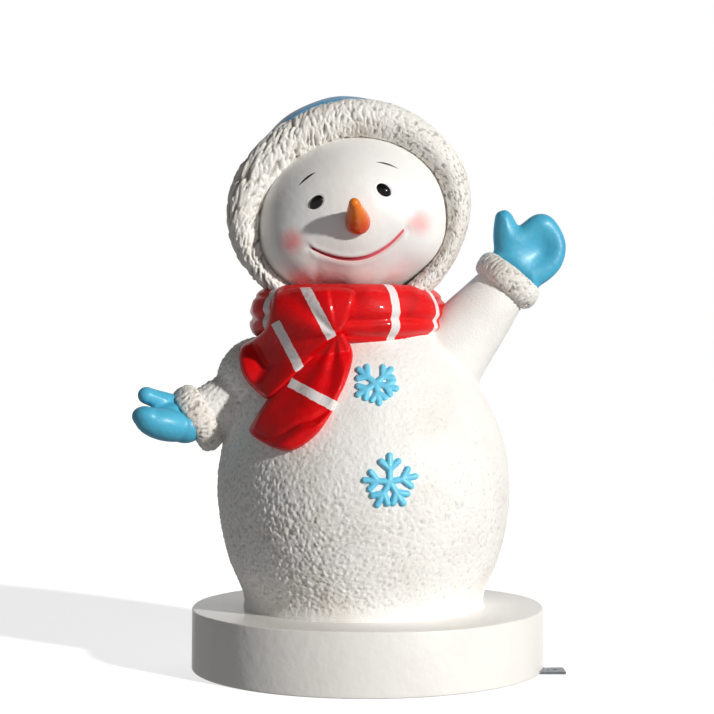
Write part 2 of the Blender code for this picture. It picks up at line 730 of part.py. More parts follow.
def make_snowflakes():
    for name, shape in (("snowflake_upper", UPPER_SNOWFLAKE), ("snowflake_lower", LOWER_SNOWFLAKE)):
        flake = prism("flake", snowflake_outline(*shape), -0.40, -0.10)
        flake = boolean(flake, torso_form(SNOWFLAKE_THICKNESS), "INTERSECT")
        finish(largest(cut(flake, torso_form(GAP))), name, BLUE)


clear_scene()
PARTS = new_collection("fibreglass_snowman")
HELPERS = new_collection("helpers")

WHITE_GLOSS = paint("white_gloss_paint", (0.86, 0.84, 0.80), 0.22)
SNOW = paint("textured_snow_paint", (0.85, 0.83, 0.79), 0.55)
FUR = paint("carved_fur_paint", (0.78, 0.75, 0.70), 0.60)
BLUE = paint("light_blue_paint", (0.13, 0.48, 0.70), 0.28)
RED = paint("red_scarf_paint", (0.66, 0.01, 0.02), 0.20)
ORANGE = paint("orange_paint", (0.85, 0.20, 0.02), 0.25)
BLACK_GLOSS = paint("black_gloss_paint", (0.01, 0.01, 0.012), 0.08)
GALVANISED = paint("galvanised_steel", (0.55, 0.56, 0.57), 0.45, 1.0)
ZINC = paint("zinc_plated_steel", (0.62, 0.62, 0.60), 0.35, 1.0)
RAW_LAMINATE = paint("raw_laminate", (0.55, 0.52, 0.36), 0.50)

make_plinth()
make_base_bars()
make_post()
make_fasteners()
make_torso()
make_base_fillet()
neck_tool = make_neck()
wrap_tool = wrap_form(GAP)
make_head(neck_tool)
make_nose()
make_hat(wrap_tool, neck_tool)
make_scarf(neck_tool)
make_arms(wrap_tool)
make_snowflakes()
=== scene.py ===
# %% [markdown]
# # A painted garden snowman
# The real figure is a hollow fibreglass moulding on a round plinth. The snow of its body was stippled
# while the laminate was soft, the fur of the hat and cuffs was carved, and the whole of it was painted by
# hand and varnished. The frame holds the engineering model: its steel, its shells and every size. This
# script gives it its looks, piece by piece, and each piece is made in the place where the frame says that
# it is.

# %% Load the frame
import math

import bpy
import numpy as np
from mathutils import Matrix, Vector


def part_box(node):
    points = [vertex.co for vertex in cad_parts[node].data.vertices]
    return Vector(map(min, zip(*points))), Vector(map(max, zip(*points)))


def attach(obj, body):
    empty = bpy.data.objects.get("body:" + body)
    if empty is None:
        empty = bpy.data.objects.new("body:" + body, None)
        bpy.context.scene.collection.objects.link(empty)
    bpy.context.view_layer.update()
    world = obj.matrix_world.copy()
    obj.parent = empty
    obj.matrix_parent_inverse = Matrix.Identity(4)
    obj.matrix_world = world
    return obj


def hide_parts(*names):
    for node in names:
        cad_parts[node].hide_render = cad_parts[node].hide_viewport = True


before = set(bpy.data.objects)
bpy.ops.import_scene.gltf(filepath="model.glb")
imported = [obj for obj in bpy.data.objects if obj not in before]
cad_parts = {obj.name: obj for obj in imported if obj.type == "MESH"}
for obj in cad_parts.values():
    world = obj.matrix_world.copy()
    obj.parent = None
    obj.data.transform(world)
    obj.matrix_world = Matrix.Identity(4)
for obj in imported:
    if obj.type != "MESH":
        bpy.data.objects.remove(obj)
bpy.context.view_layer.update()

# %% [markdown]
# ## Helpers for modelling
# Blender's operators act on whatever is selected, so every step starts by clearing the selection. A
# primitive is added at its size and place, and that place is then settled into its mesh, so that every
# finished object sits at the origin, as the frame's own nodes do.

# %% Picking, naming, modifying
def clear_selection():
    """Leaves edit mode and deselects everything."""
    if bpy.context.object and bpy.context.object.mode == "EDIT":
        bpy.ops.object.mode_set(mode="OBJECT")
    bpy.ops.object.select_all(action="DESELECT")


def pick(*objects):
    """Selects only these objects, with the first as the active one."""
    clear_selection()
    for obj in objects:
        obj.select_set(True)
    bpy.context.view_layer.objects.active = objects[0]
    return objects[0]


def named(obj, name):
    obj.name = obj.data.name = name
    return obj


def settled(obj, place=None):
    """Moves an object's place, turn and size into its mesh, seen from a further place if one is given."""
    pick(obj)
    if place is not None:
        obj.matrix_world = place @ obj.matrix_world
    bpy.ops.object.transform_apply(location=True, rotation=True, scale=True)
    return obj


def added(name, place=None):
    """The primitive that was just added, named and settled."""
    return settled(named(bpy.context.object, name), place)


def modify(obj, kind, **settings):
    """Adds a modifier, sets it and applies it."""
    pick(obj)
    bpy.ops.object.modifier_add(type=kind)
    modifier = obj.modifiers[-1]
    for name, value in settings.items():
        setattr(modifier, name, value)
    bpy.ops.object.modifier_apply(modifier=modifier.name)
    return obj


def joined(name, *objects):
    """Makes one object of several."""
    made = pick(*objects)
    bpy.ops.object.join()
    return named(made, name)


def remeshed(obj, voxel, rounds):
    """Melts overlapping lumps into one skin of even squares, then smooths it."""
    pick(obj)
    obj.data.remesh_voxel_size = voxel
    bpy.ops.object.voxel_remesh()
    return modify(obj, "SMOOTH", factor=0.5, iterations=rounds)


# %% [markdown]
# A sculptor pushes the clay. In code the clay is an array of points: these helpers read a mesh's points
# into one, and write them back once they have been moved. Faces are chosen by a test on their centres.

# %% Reading and moving points
def read(items, what):
    """One vector for each item of a mesh, as rows of x, y and z."""
    flat = np.empty(len(items) * 3)
    items.foreach_get(what, flat)
    return flat.reshape(-1, 3)


def places(obj):
    return read(obj.data.vertices, "co")


def normals(obj):
    return read(obj.data.vertices, "normal")


def set_places(obj, points):
    obj.data.vertices.foreach_set("co", np.ascontiguousarray(points, dtype=float).ravel())
    obj.data.update()
    return obj


def push_out(obj, amount):
    """Moves each point along its normal."""
    return set_places(obj, places(obj) + normals(obj) * np.asarray(amount).reshape(-1, 1))


def remember(obj, name, values):
    """Keeps a number for each point on the mesh, where a material can read it."""
    layer = obj.data.attributes.new(name, "FLOAT", "POINT")
    layer.data.foreach_set("value", np.ascontiguousarray(values, dtype=float).ravel())


def choose_faces(obj, test):
    """Opens edit mode with the faces selected whose centres pass the test."""
    pick(obj)
    bpy.ops.object.mode_set(mode="EDIT")
    bpy.ops.mesh.select_mode(type="FACE")
    bpy.ops.mesh.select_all(action="DESELECT")
    bpy.ops.object.mode_set(mode="OBJECT")
    obj.data.polygons.foreach_set("select", test(read(obj.data.polygons, "center")))
    bpy.ops.object.mode_set(mode="EDIT")


def choose_all(obj):
    """Opens edit mode with everything selected."""
    pick(obj)
    bpy.ops.object.mode_set(mode="EDIT")
    bpy.ops.mesh.select_all(action="SELECT")


def close(obj):
    """Turns every face outwards and leaves edit mode."""
    bpy.ops.mesh.select_all(action="SELECT")
    bpy.ops.mesh.normals_make_consistent(inside=False)
    bpy.ops.object.mode_set(mode="OBJECT")
    return obj


def extrude(vector):
    bpy.ops.mesh.extrude_region_move(TRANSFORM_OT_translate={"value": vector})


def hump(distance, width):
    """1 at no distance, and nearly 0 at twice the width."""
    return np.exp(-(distance / width) ** 2)


# %% [markdown]
# Soft curves come from a few guide points. A lathe form is a circle pulled up ring by ring: extrude, then
# resize.

# %% Curves and turned forms
def smooth_line(points, steps, closed=False):
    """A smooth curve through the points, with that many steps between each two."""
    line = [np.array(point, dtype=float) for point in points]
    line = [line[-1], *line, line[0], line[1]] if closed else [line[0], *line, line[-1]]
    made = []
    for a, b, c, d in zip(line, line[1:], line[2:], line[3:]):
        for t in np.arange(steps) / steps:
            made.append(b + (c - a) * t / 2 + (a - 2.5 * b + 2 * c - d / 2) * t**2
                        + (1.5 * (b - c) + (d - a) / 2) * t**3)
    if not closed:
        made.append(line[-1])
    return np.array(made)


def full_turn(steps):
    """The angles of a full turn in even steps."""
    return np.arange(steps) * math.tau / steps


def stacked(x, y, z):
    """Points from their three coordinates, which may be numbers, rows and columns of one grid."""
    return np.stack(np.broadcast_arrays(x, y, z), axis=-1)


def turned(name, line, segments, place=None):
    """A form turned about Z from (height, radius) points, bottom to top."""
    clear_selection()
    height, radius = line[0]
    bpy.ops.mesh.primitive_circle_add(vertices=segments, radius=radius, fill_type="NGON",
                                      location=(0, 0, height))
    form = bpy.context.object
    choose_all(form)
    for (low, inner), (high, outer) in zip(line, line[1:]):
        extrude((0, 0, high - low))
        share = outer / inner
        bpy.ops.transform.resize(value=(share, share, 1), center_override=(0, 0, high))
    close(form)
    return added(name, place)


def frame_along(origin, direction, palm=Vector((0, -1, 0))):
    """A frame at origin with +Z along direction, and -Y turned as far towards palm as it can be."""
    z = direction.normalized()
    y = (-palm + palm.dot(z) * z).normalized()
    x = y.cross(z)
    return Matrix.Translation(origin) @ Matrix((x, y, z)).transposed().to_4x4()


def ball(name, centre, radii, turn=(0, 0, 0), segments=48):
    """A sphere primitive, drawn out to three radii, or with one radius all round."""
    clear_selection()
    scale = radii if isinstance(radii, tuple) else (radii,) * 3
    bpy.ops.mesh.primitive_uv_sphere_add(segments=segments, ring_count=segments // 2, radius=1,
                                         location=centre, rotation=turn, scale=scale)
    return added(name)


def finish_piece(obj, material, slot, *nodes):
    """Shades a piece, paints it, hangs it on the figure and lets it stand for its plain nodes."""
    pick(obj)
    bpy.ops.object.shade_smooth()
    obj.data.materials.clear()
    obj.data.materials.append(material)
    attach(obj, "root")
    if nodes:
        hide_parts(*nodes)
    print(obj.name, "has", sum(len(face.vertices) - 2 for face in obj.data.polygons), "triangles")
    return obj


# %% [markdown]
# ## Helpers for paint
# A material is a graph of nodes. Written as sums it stays readable, so a small class wraps an output
# socket, and Python's own operators, added to it in a loop, make the Math nodes. Everything else is made
# by one method, node.

# %% Signals and finishes
class Signal:
    """A value that varies over a surface."""

    def __init__(self, finish, socket):
        self.finish = finish
        self.socket = socket

    def math(self, operation, *values):
        sockets = dict(enumerate(values))
        return self.finish.node("ShaderNodeMath", {"operation": operation}, sockets)

    def __abs__(self):
        return self.math("ABSOLUTE", self)

    def ramp(self, low, high):
        """0 below low and 1 above high, with a soft step between. It falls where low is above high."""
        sockets = {"Value": self, "From Min": min(low, high), "From Max": max(low, high)}
        made = self.finish.node("ShaderNodeMapRange", {"interpolation_type": "SMOOTHSTEP"}, sockets)
        return made if low < high else 1 - made


def operator(operation, swapped=False):
    """A method of Signal that adds a Math node for two values."""
    def method(self, other):
        return self.math(operation, *((other, self) if swapped else (self, other)))
    return method


for sign, operation in (("add", "ADD"), ("sub", "SUBTRACT"), ("mul", "MULTIPLY")):
    setattr(Signal, f"__{sign}__", operator(operation))
    setattr(Signal, f"__r{sign}__", operator(operation, swapped=True))
for name, operation in (("__truediv__", "DIVIDE"), ("__pow__", "POWER"), ("most", "MAXIMUM"),
                        ("least", "MINIMUM")):
    setattr(Signal, name, operator(operation))


class Finish:
    """A material under construction."""

    def __init__(self, name):
        self.material = bpy.data.materials.new(name)
        self.material.use_nodes = True
        self.tree = self.material.node_tree
        self.shader = self.tree.nodes["Principled BSDF"]

    def feed(self, socket, value):
        if isinstance(value, Signal):
            self.tree.links.new(value.socket, socket)
        else:
            socket.default_value = value

    def node(self, kind, settings=None, sockets=None, output=0):
        """Any node: its settings first, then the values or links of its sockets."""
        made = self.tree.nodes.new(kind)
        for name, value in (settings or {}).items():
            setattr(made, name, value)
        for key, value in (sockets or {}).items():
            self.feed(made.inputs[key], value)
        return Signal(self, made.outputs[output])

    def place(self, centre=(0, 0, 0), turn=(0, 0, 0), stretch=(1, 1, 1)):
        """Object coordinates, seen from a centred, turned and stretched frame."""
        point = self.node("ShaderNodeTexCoord", output="Object")
        sockets = {"Vector": point, "Location": centre, "Rotation": turn, "Scale": stretch}
        return self.node("ShaderNodeMapping", {"vector_type": "TEXTURE"}, sockets)

    def parts(self, vector):
        """The three coordinates of a vector."""
        first = self.node("ShaderNodeSeparateXYZ", None, {"Vector": vector})
        return [Signal(self, output) for output in first.socket.node.outputs]

    def noise(self, size, detail=2.0, where=None, seed=0.0):
        """Soft lumps of about that size in metres, from 0 to 1."""
        sockets = {"Vector": where or self.place(), "W": seed, "Scale": 1 / size, "Detail": detail}
        return self.node("ShaderNodeTexNoise", {"noise_dimensions": "4D"}, sockets)

    def kept(self, name):
        """A number that the mesh remembers."""
        return self.node("ShaderNodeAttribute", {"attribute_name": name}, output="Fac")

    def mix(self, first, second, share):
        """The first colour where share is 0, the second where it is 1."""
        return self.node("ShaderNodeMix", {"data_type": "RGBA"}, {0: share, 6: first, 7: second}, 2)

    def bump(self, height, distance, under=None):
        sockets = {"Height": height, "Distance": distance}
        if under is not None:
            sockets["Normal"] = under
        return self.node("ShaderNodeBump", None, sockets)

    def surface(self, colour, roughness, normal=None, **fixed):
        """Feeds the shader and returns the finished material. fixed holds values without variation."""
        values = {"Base Color": colour, "Roughness": roughness}
        if normal is not None:
            values["Normal"] = normal
        values.update({name.replace("_", " ").title(): value for name, value in fixed.items()})
        for name, value in values.items():
            self.feed(self.shader.inputs[name], value)
        return self.material


def tint(red, green, blue):
    """A colour from a painter's chart, 0 to 255, as the linear values that light follows."""
    shares = [value / 255 for value in (red, green, blue)]
    return (*[v / 12.92 if v < 0.0405 else ((v + 0.055) / 1.055) ** 2.4 for v in shares], 1.0)


# %% [markdown]
# ## The finishes
# First the snow. The maker paints it off-white. The mesh remembers how high each point stands, as relief,
# and the paint turns grey-brown in the low points: painted shade in the hollows. A fine bump adds the grain
# that is too small to model.

# %% Snow and fur paint
SNOW_WHITE = tint(245, 243, 239)
# The colour of painted shade, laid into the low points of the snow's stipple and of the fur's carving.
HOLLOW_SHADE = tint(128, 117, 108)


def snow_paint():
    snow = Finish("stippled_snow_paint")
    grain = snow.noise(0.0045, 3.0)
    drift = snow.noise(0.11, 3.0)
    relief = snow.kept("relief") + (grain - 0.5) * 0.35
    # Grey-brown in the low points of the relief: painted shade in the hollows.
    hollow = relief.ramp(0.42, 0.12) * (0.14 + 0.26 * drift)
    colour = snow.mix(SNOW_WHITE, tint(236, 231, 223), drift.ramp(0.45, 0.75))
    colour = snow.mix(colour, HOLLOW_SHADE, hollow)
    normal = snow.bump(grain + 0.5 * snow.noise(0.0016, 2.0), 0.0011)
    return snow.surface(colour, 0.48 + 0.2 * grain, normal, coat_weight=0.08, coat_roughness=0.35)


def fur_paint():
    fur = Finish("carved_fur_paint")
    relief = fur.kept("relief")
    grain = fur.noise(0.003, 3.0)
    specks = fur.noise(0.006, 2.0, seed=3.0)
    drift = fur.noise(0.08, 2.0, seed=7.0)
    # Grey-brown in the low points of the carving, patchy with the specks: painted shade in the hollows.
    deep = (relief + (grain - 0.5) * 0.25).ramp(0.55, 0.20)
    colour = fur.mix(tint(244, 241, 235), tint(226, 219, 209), drift.ramp(0.40, 0.75))
    colour = fur.mix(colour, HOLLOW_SHADE, deep * (0.30 + 0.45 * specks))
    normal = fur.bump(grain, 0.0014)
    return fur.surface(colour, 0.5 + 0.2 * grain, normal, coat_weight=0.06, coat_roughness=0.35)


SNOW_PAINT = snow_paint()
FUR_PAINT = fur_paint()
print("made", SNOW_PAINT.name, "and", FUR_PAINT.name)

# %% [markdown]
# The head, the mittens and the plinth are rubbed smooth and varnished. Sprayed gloss is never quite flat:
# a faint orange-peel bump breaks up the highlights.

# %% Smooth gloss paints
def plinth_paint():
    gloss = Finish("plinth_gloss_white")
    drift = gloss.noise(0.16, 3.0)
    stain = gloss.noise(0.03, 4.0, seed=5.0)
    dull = drift.ramp(0.45, 0.8) * 0.6 + stain.ramp(0.62, 0.8) * 0.25
    colour = gloss.mix(tint(245, 242, 237), tint(235, 230, 222), dull)
    normal = gloss.bump(gloss.noise(0.02, 3.0, seed=2.0), 0.0012)
    return gloss.surface(colour, 0.34 + 0.12 * stain, normal, coat_weight=0.2, coat_roughness=0.2)


def blue_paint(name, base, shade, high):
    """A blue that drifts softly between three tones of itself."""
    blue = Finish(name)
    drift = blue.noise(0.05, 3.0)
    peel = blue.noise(0.012, 3.0, seed=4.0)
    colour = blue.mix(base, shade, drift.ramp(0.5, 0.8) * 0.7)
    colour = blue.mix(colour, high, drift.ramp(0.42, 0.2) * 0.6)
    normal = blue.bump(peel, 0.0011)
    return blue.surface(colour, 0.38 + 0.12 * peel, normal, coat_weight=0.10, coat_roughness=0.25)


PLINTH_WHITE = plinth_paint()
MITTEN_BLUE = blue_paint("mitten_blue_paint", tint(78, 180, 214), tint(56, 156, 198), tint(106, 202, 230))
HAT_BLUE = blue_paint("hat_blue_paint", tint(86, 158, 202), tint(66, 136, 182), tint(112, 178, 216))
FLAKE_BLUE = blue_paint("snowflake_blue_paint", tint(116, 210, 240), tint(92, 192, 230),
                        tint(150, 224, 246))
print("made", PLINTH_WHITE.name, MITTEN_BLUE.name, HAT_BLUE.name, FLAKE_BLUE.name)

# %% [markdown]
# The face is painted on the white gloss: two thin brows, a red smile that follows the engraved groove,
# and soft airbrushed cheeks. Each is a mask in the head's own frame, where x runs to the head's left and
# z to its crown. A brow or the smile is a band round a curve, and a blush is a ball whose edge fades out.

# %% The face
HEAD_CENTRE = Vector((-0.0286, -0.020, 0.890))
HEAD_TILT = math.radians(-11)
HEAD_RADII = (0.196, 0.185, 0.162)
SMILE_LOW = -0.089
SMILE_BEND = 4.69
SMILE_REACH = 0.091
BLUSHES = ((0.121, -0.043, 0.55), (-0.124, -0.032, 0.80))
BROWS = ((-0.0725, 0.0195, 0.0024, 0.0815, 6.5, 0.50), (0.0825, 0.0205, 0.0018, 0.0785, 7.5, -0.50))
BLACK = tint(40, 32, 34)


def brow(x, z, centre, half_length, width, height, bend, slope):
    """A tapering stroke along a bent line, with bend and slope as the terms of its curve."""
    along = x - centre
    curve = z - height - slope * along + bend * along * along
    thickness = (1 - (abs(along) / half_length).least(1) ** 2) * width
    stroke = abs(curve) - thickness
    return stroke.ramp(0.0004, -0.0004) * abs(along).ramp(half_length, half_length - 0.002)


def blushed(face, colour, x, z, front):
    """Airbrushed cheeks, each (across, up, strength), and a faint pink low on the chin that is a painted
    reflection of the red scarf below it.
    """
    for across, up, strength in BLUSHES:
        distance = ((x - across) ** 2 + (z - up) ** 2) ** 0.5
        patchy = 0.8 + 0.4 * face.noise(0.02, 3.0, seed=8.0)
        share = distance.ramp(0.036, 0.002) * strength * patchy * front
        colour = face.mix(colour, tint(238, 120, 122), share)
    # Faint pink low on the chin, just above the scarf: painted reflection of the scarf's red.
    chin = z.ramp(-0.132, -0.150) * abs(x + 0.022).ramp(0.045, 0.01)
    return face.mix(colour, tint(244, 176, 176), chin * 0.15 * front)


def smiling(face, colour, x, z, front):
    """A red line that wavers and thins towards its ends, over a paler one that has bled out of it."""
    wobble = (face.noise(0.012, 2.0, seed=1.0) - 0.5) * 0.0012
    drop = z - SMILE_LOW - SMILE_BEND * x * x + wobble
    nearness = drop / (1 + (2 * SMILE_BEND * x) ** 2) ** 0.5
    width = 0.0030 - 0.0009 * (abs(x) / SMILE_REACH)
    bled = (abs(nearness + 0.0015) - width).ramp(0.006, 0.0) * 0.5
    bled = bled * abs(x).ramp(SMILE_REACH, SMILE_REACH - 0.01)
    line = (abs(nearness) - width).ramp(0.0005, -0.0005) * abs(x).ramp(SMILE_REACH, SMILE_REACH - 0.003)
    # The smile's red is painted lighter towards the head's lit left and darker towards its shaded right:
    # painted light on one side and painted shade on the other.
    lip = face.mix(tint(172, 30, 46), tint(230, 98, 112), x.ramp(-0.04, 0.06))
    return face.mix(face.mix(colour, tint(238, 170, 165), bled * front), lip, line * front)


def face_paint():
    face = Finish("painted_face")
    x, y, z = face.parts(face.place(HEAD_CENTRE, (0, HEAD_TILT, 0)))
    front = y.ramp(0.0, -0.02)
    drift = face.noise(0.14, 3.0)
    colour = face.mix(tint(247, 245, 242), tint(240, 235, 230), drift.ramp(0.45, 0.8))
    colour = blushed(face, colour, x, z, front)
    colour = smiling(face, colour, x, z, front)
    for shape in BROWS:
        colour = face.mix(colour, BLACK, brow(x, z, *shape) * front)
    peel = face.noise(0.02, 3.0, seed=2.0)
    rough = 0.38 + 0.12 * face.noise(0.03, 3.0, seed=5.0)
    return face.surface(colour, rough, face.bump(peel, 0.0010), coat_weight=0.15, coat_roughness=0.25)


FACE_PAINT = face_paint()
print("made", FACE_PAINT.name)

# %% [markdown]
# The scarf is one glossy red with hand-painted white stripes. On the roll round the neck a stripe is an
# angle about the neck's axis, repeated. On a tail it is the distance from a straight line across it. A
# little noise makes the edges waver as a brush does, and fine lines along the cloth stand for the strokes
# of a stiff brush.

# %% Scarf paint
WRAP_CENTRE = Vector((-0.040, -0.010, 0.697))
WRAP_REACH = 0.195
STRIPE = 0.0095
SCARF_RED = tint(228, 6, 14)
SCARF_DEEP = tint(192, 3, 9)
SCARF_WHITE = tint(236, 228, 226)


def scarf_finish(name, stripes_of, brush_degrees):
    """stripes_of gives the distance from the middle of the nearest stripe. The brush ran at that angle."""
    scarf = Finish(name)
    drift = scarf.noise(0.05, 3.0)
    colour = scarf.mix(SCARF_RED, SCARF_DEEP, drift.ramp(0.45, 0.8))
    wobble = (scarf.noise(0.014, 3.0, seed=3.0) - 0.5) * 0.0045
    distance = stripes_of(scarf) + wobble
    stripe = distance.ramp(STRIPE + 0.0006, STRIPE - 0.0006)
    brushed = scarf.place(turn=(0, math.radians(brush_degrees), 0), stretch=(1, 1, 12))
    lines = scarf.noise(0.0022, 3.0, brushed, seed=6.0)
    worn = scarf.mix(SCARF_WHITE, tint(205, 150, 150), (lines * drift).ramp(0.30, 0.42) * 0.6)
    colour = scarf.mix(colour, worn, stripe)
    normal = scarf.bump(lines + 0.8 * scarf.noise(0.016, 3.0, seed=9.0), 0.0011)
    scarf.shader.inputs["Specular IOR Level"].default_value = 0.2
    return scarf.surface(colour, 0.40 + 0.14 * lines, normal, coat_weight=0.28, coat_roughness=0.08)


def wrap_stripes(first, gap, count):
    """Stripes at even angles about the neck, in degrees from the front towards the head's left."""
    def distance(scarf):
        x, y, _ = scarf.parts(scarf.place(WRAP_CENTRE))
        angle = x.math("ARCTAN2", x, 0 - y) * math.degrees(1) + (360 - first + gap / 2)
        turn = angle.math("MODULO", angle, 360)
        step = turn.math("MODULO", turn, gap) - gap / 2
        beyond = (turn - gap * count).most(0)
        return abs(step) * math.radians(1) * WRAP_REACH + beyond
    return distance


def line_stripes(*lines):
    """Stripes along straight lines, each from one (x, z) to another, with square ends."""
    def distance(scarf):
        x, _, z = scarf.parts(scarf.place())
        nearest = None
        for (x0, z0), (x1, z1) in lines:
            length = math.hypot(x1 - x0, z1 - z0)
            across, up = (x1 - x0) / length, (z1 - z0) / length
            offset = abs((x - x0) * up - (z - z0) * across)
            beyond = abs((x - x0) * across + (z - z0) * up - length / 2) - length / 2 + STRIPE
            stripe = offset.most(beyond)
            nearest = stripe if nearest is None else nearest.least(stripe)
        return nearest
    return distance


UPPER_STRIPES = (((-0.128, 0.765), (-0.067, 0.651)), ((-0.175, 0.681), (-0.127, 0.591)))
LOWER_STRIPES = (((-0.147, 0.568), (-0.040, 0.513)),)
WRAP_PAINT = scarf_finish("scarf_wrap_paint", wrap_stripes(29, 34.75, 9), 90)
UPPER_TAIL_PAINT = scarf_finish("scarf_upper_tail_paint", line_stripes(*UPPER_STRIPES), 55)
LOWER_TAIL_PAINT = scarf_finish("scarf_lower_tail_paint", line_stripes(*LOWER_STRIPES), 27)
print("made", WRAP_PAINT.name, UPPER_TAIL_PAINT.name, LOWER_TAIL_PAINT.name)

# %% [markdown]
# The small things: the carrot goes from a light tip to a deep orange root, the eyes are polished black,
# and the steel and raw laminate inside have finishes of their own, for whoever takes the figure apart.

# %% Carrot, eyes, steel and laminate
def carrot_paint(root, tip):
    """The colour follows the way from root to tip."""
    carrot = Finish("carrot_orange_paint")
    x, y, z = carrot.parts(carrot.place(root))
    way = (tip - root).normalized()
    along = (x * way.x + y * way.y + z * way.z) / (tip - root).length
    patch = carrot.noise(0.02, 3.0)
    lighter = (along + 0.4 * (patch - 0.5)).ramp(0.05, 0.75)
    colour = carrot.mix(tint(222, 70, 14), tint(246, 128, 22), lighter)
    normal = carrot.bump(carrot.noise(0.009, 3.0, seed=2.0), 0.0010)
    return carrot.surface(colour, 0.30 + 0.1 * patch, normal, coat_weight=0.35, coat_roughness=0.12)


def eye_paint():
    eye = Finish("eye_black_gloss")
    dust = eye.noise(0.004, 3.0)
    colour = eye.mix(tint(10, 10, 12), tint(26, 26, 30), dust.ramp(0.5, 0.8))
    return eye.surface(colour, 0.05 + 0.06 * dust, coat_weight=0.6, coat_roughness=0.04)


def steel(name, base, shade, size, rough):
    """Plated steel with spangles of about that size."""
    metal = Finish(name)
    sockets = {"Vector": metal.place(), "Scale": 1 / size}
    spangle = metal.node("ShaderNodeTexVoronoi", None, sockets, "Distance")
    smear = metal.noise(0.03, 4.0)
    colour = metal.mix(base, shade, spangle * 0.6 + smear * 0.4)
    normal = metal.bump(smear + spangle * 0.3, 0.0003)
    return metal.surface(colour, rough + 0.2 * smear, normal, metallic=1.0)


def raw_laminate():
    resin = Finish("raw_laminate")
    strands = resin.noise(0.002, 4.0, resin.place(stretch=(6, 1, 1)))
    cross = resin.noise(0.002, 4.0, resin.place(stretch=(1, 1, 6)), seed=4.0)
    colour = resin.mix(tint(188, 180, 140), tint(150, 138, 92), strands.most(cross).ramp(0.45, 0.7))
    return resin.surface(colour, 0.35 + 0.3 * cross, resin.bump(strands.most(cross), 0.0008))


EYE_PAINT = eye_paint()
GALVANISED = steel("galvanised_steel", tint(176, 180, 184), tint(142, 147, 152), 0.008, 0.38)
ZINC = steel("zinc_plated_steel", tint(206, 205, 196), tint(176, 174, 160), 0.003, 0.26)
LAMINATE = raw_laminate()
CARRIED = {
    GALVANISED: ("base_cross_bar", "base_rear_bar", "post_foot_plate", "centre_post", "deck_flange",
                 "head_plate", "nose_dowel", "waving_arm_rod", "open_arm_rod"),
    ZINC: [f"deck_{part}_{i}" for part in ("bolt", "nut") for i in range(1, 5)],
    LAMINATE: ("neck_collar",),
}
for material, nodes in CARRIED.items():
    for node in nodes:
        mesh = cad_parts[node].data
        mesh.materials.clear()
        mesh.materials.append(material)
print("repainted", sum(len(nodes) for nodes in CARRIED.values()), "nodes of the frame")

# %% [markdown]
# ## The plinth
# A drum moulded in one piece, with a soft rim and an open underside. A cylinder primitive gives the
# round; its top rim is bevelled, its bottom is inset and pushed up to leave a wall, and two Booleans let
# the flat bars out at the ground. The wall is cut round at two heights first, so that the long faces of
# its gloss stay even beside the slots. Moulded gloss is a little wavy, so the points are finally moved by
# a slow ripple.

# %% Plinth
PLINTH_WALL = 0.006
DECK_THICKNESS = 0.008
BEVEL_WIDTH = 0.008
WALL_CUTS = (0.008, 0.016)
SLOT_REACH = 0.2
SLOT_ROOM = 0.001
plinth_low, plinth_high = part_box("plinth_drum")


def plinth_blank():
    """The drum, with rings of faces on its deck, an open underside, a bevelled rim and two cuts."""
    height = plinth_high.z - plinth_low.z
    clear_selection()
    bpy.ops.mesh.primitive_cylinder_add(vertices=192, radius=(plinth_high.x - plinth_low.x) / 2,
                                        depth=height, location=(0, 0, plinth_low.z + height / 2))
    drum = added("plinth")
    choose_faces(drum, lambda centre: centre[:, 2] < plinth_low.z + 0.001)
    bpy.ops.mesh.inset(thickness=PLINTH_WALL)
    extrude((0, 0, height - DECK_THICKNESS))
    choose_faces(drum, lambda centre: centre[:, 2] > plinth_high.z - 0.001)
    for width in (0.02, *[0.025] * 6):
        bpy.ops.mesh.inset(thickness=width)
    bpy.ops.object.mode_set(mode="OBJECT")
    modify(drum, "BEVEL", width=BEVEL_WIDTH, segments=5, limit_method="ANGLE", angle_limit=math.radians(60))
    for cut in WALL_CUTS:
        choose_all(drum)
        bpy.ops.mesh.bisect(plane_co=(0, 0, cut), plane_no=(0, 0, 1))
        bpy.ops.object.mode_set(mode="OBJECT")
    return drum


def cut_slot(drum, node, along, aside):
    """Lets a flat bar out through the wall. along and aside are the axes of its length and its width."""
    low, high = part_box(node)
    centre = (low + high) / 2
    centre[along] = high[along]
    centre.z = 0
    size = Vector((0, 0, high.z * 2 + SLOT_ROOM))
    size[along] = SLOT_REACH
    size[aside] = high[aside] - low[aside] + SLOT_ROOM
    clear_selection()
    bpy.ops.mesh.primitive_cube_add(size=1, location=centre, scale=size)
    cutter = added("lug_slot")
    modify(drum, "BOOLEAN", operation="DIFFERENCE", object=cutter, solver="EXACT")
    bpy.data.objects.remove(cutter)


def make_plinth():
    drum = plinth_blank()
    cut_slot(drum, "base_cross_bar", 0, 1)
    cut_slot(drum, "base_rear_bar", 1, 0)
    points = places(drum)
    turn = np.arctan2(points[:, 1], points[:, 0])
    share = points[:, 2] / (plinth_high.z - plinth_low.z)
    ripple = 0.0007 * np.sin(3 * turn + 1) + 0.0005 * np.sin(7 * turn)
    points[:, 2] += np.clip(share, 0, 1) ** 4 * ripple
    share = points[:, 2] / (plinth_high.z - plinth_low.z)
    points[:, :2] *= (1 - 0.0016 * (1 + np.sin(4 * turn + 0.5)) * share)[:, None]
    set_places(drum, points)
    return finish_piece(drum, PLINTH_WHITE, "white_gloss", "plinth_drum")


make_plinth()

# %% [markdown]
# ## The body
# Torso and sleeves are one skin of snow. The torso is turned from its outline, each sleeve is a cone with
# a ball at its root, the held-out one with a bulge beside it too, and a voxel remesh melts the lumps into
# each other, so that the armpits come out soft, as packed snow does. Displace modifiers with procedural
# textures then raise a slow swell, and over it the stipple: broad dabs, and a finer grain.

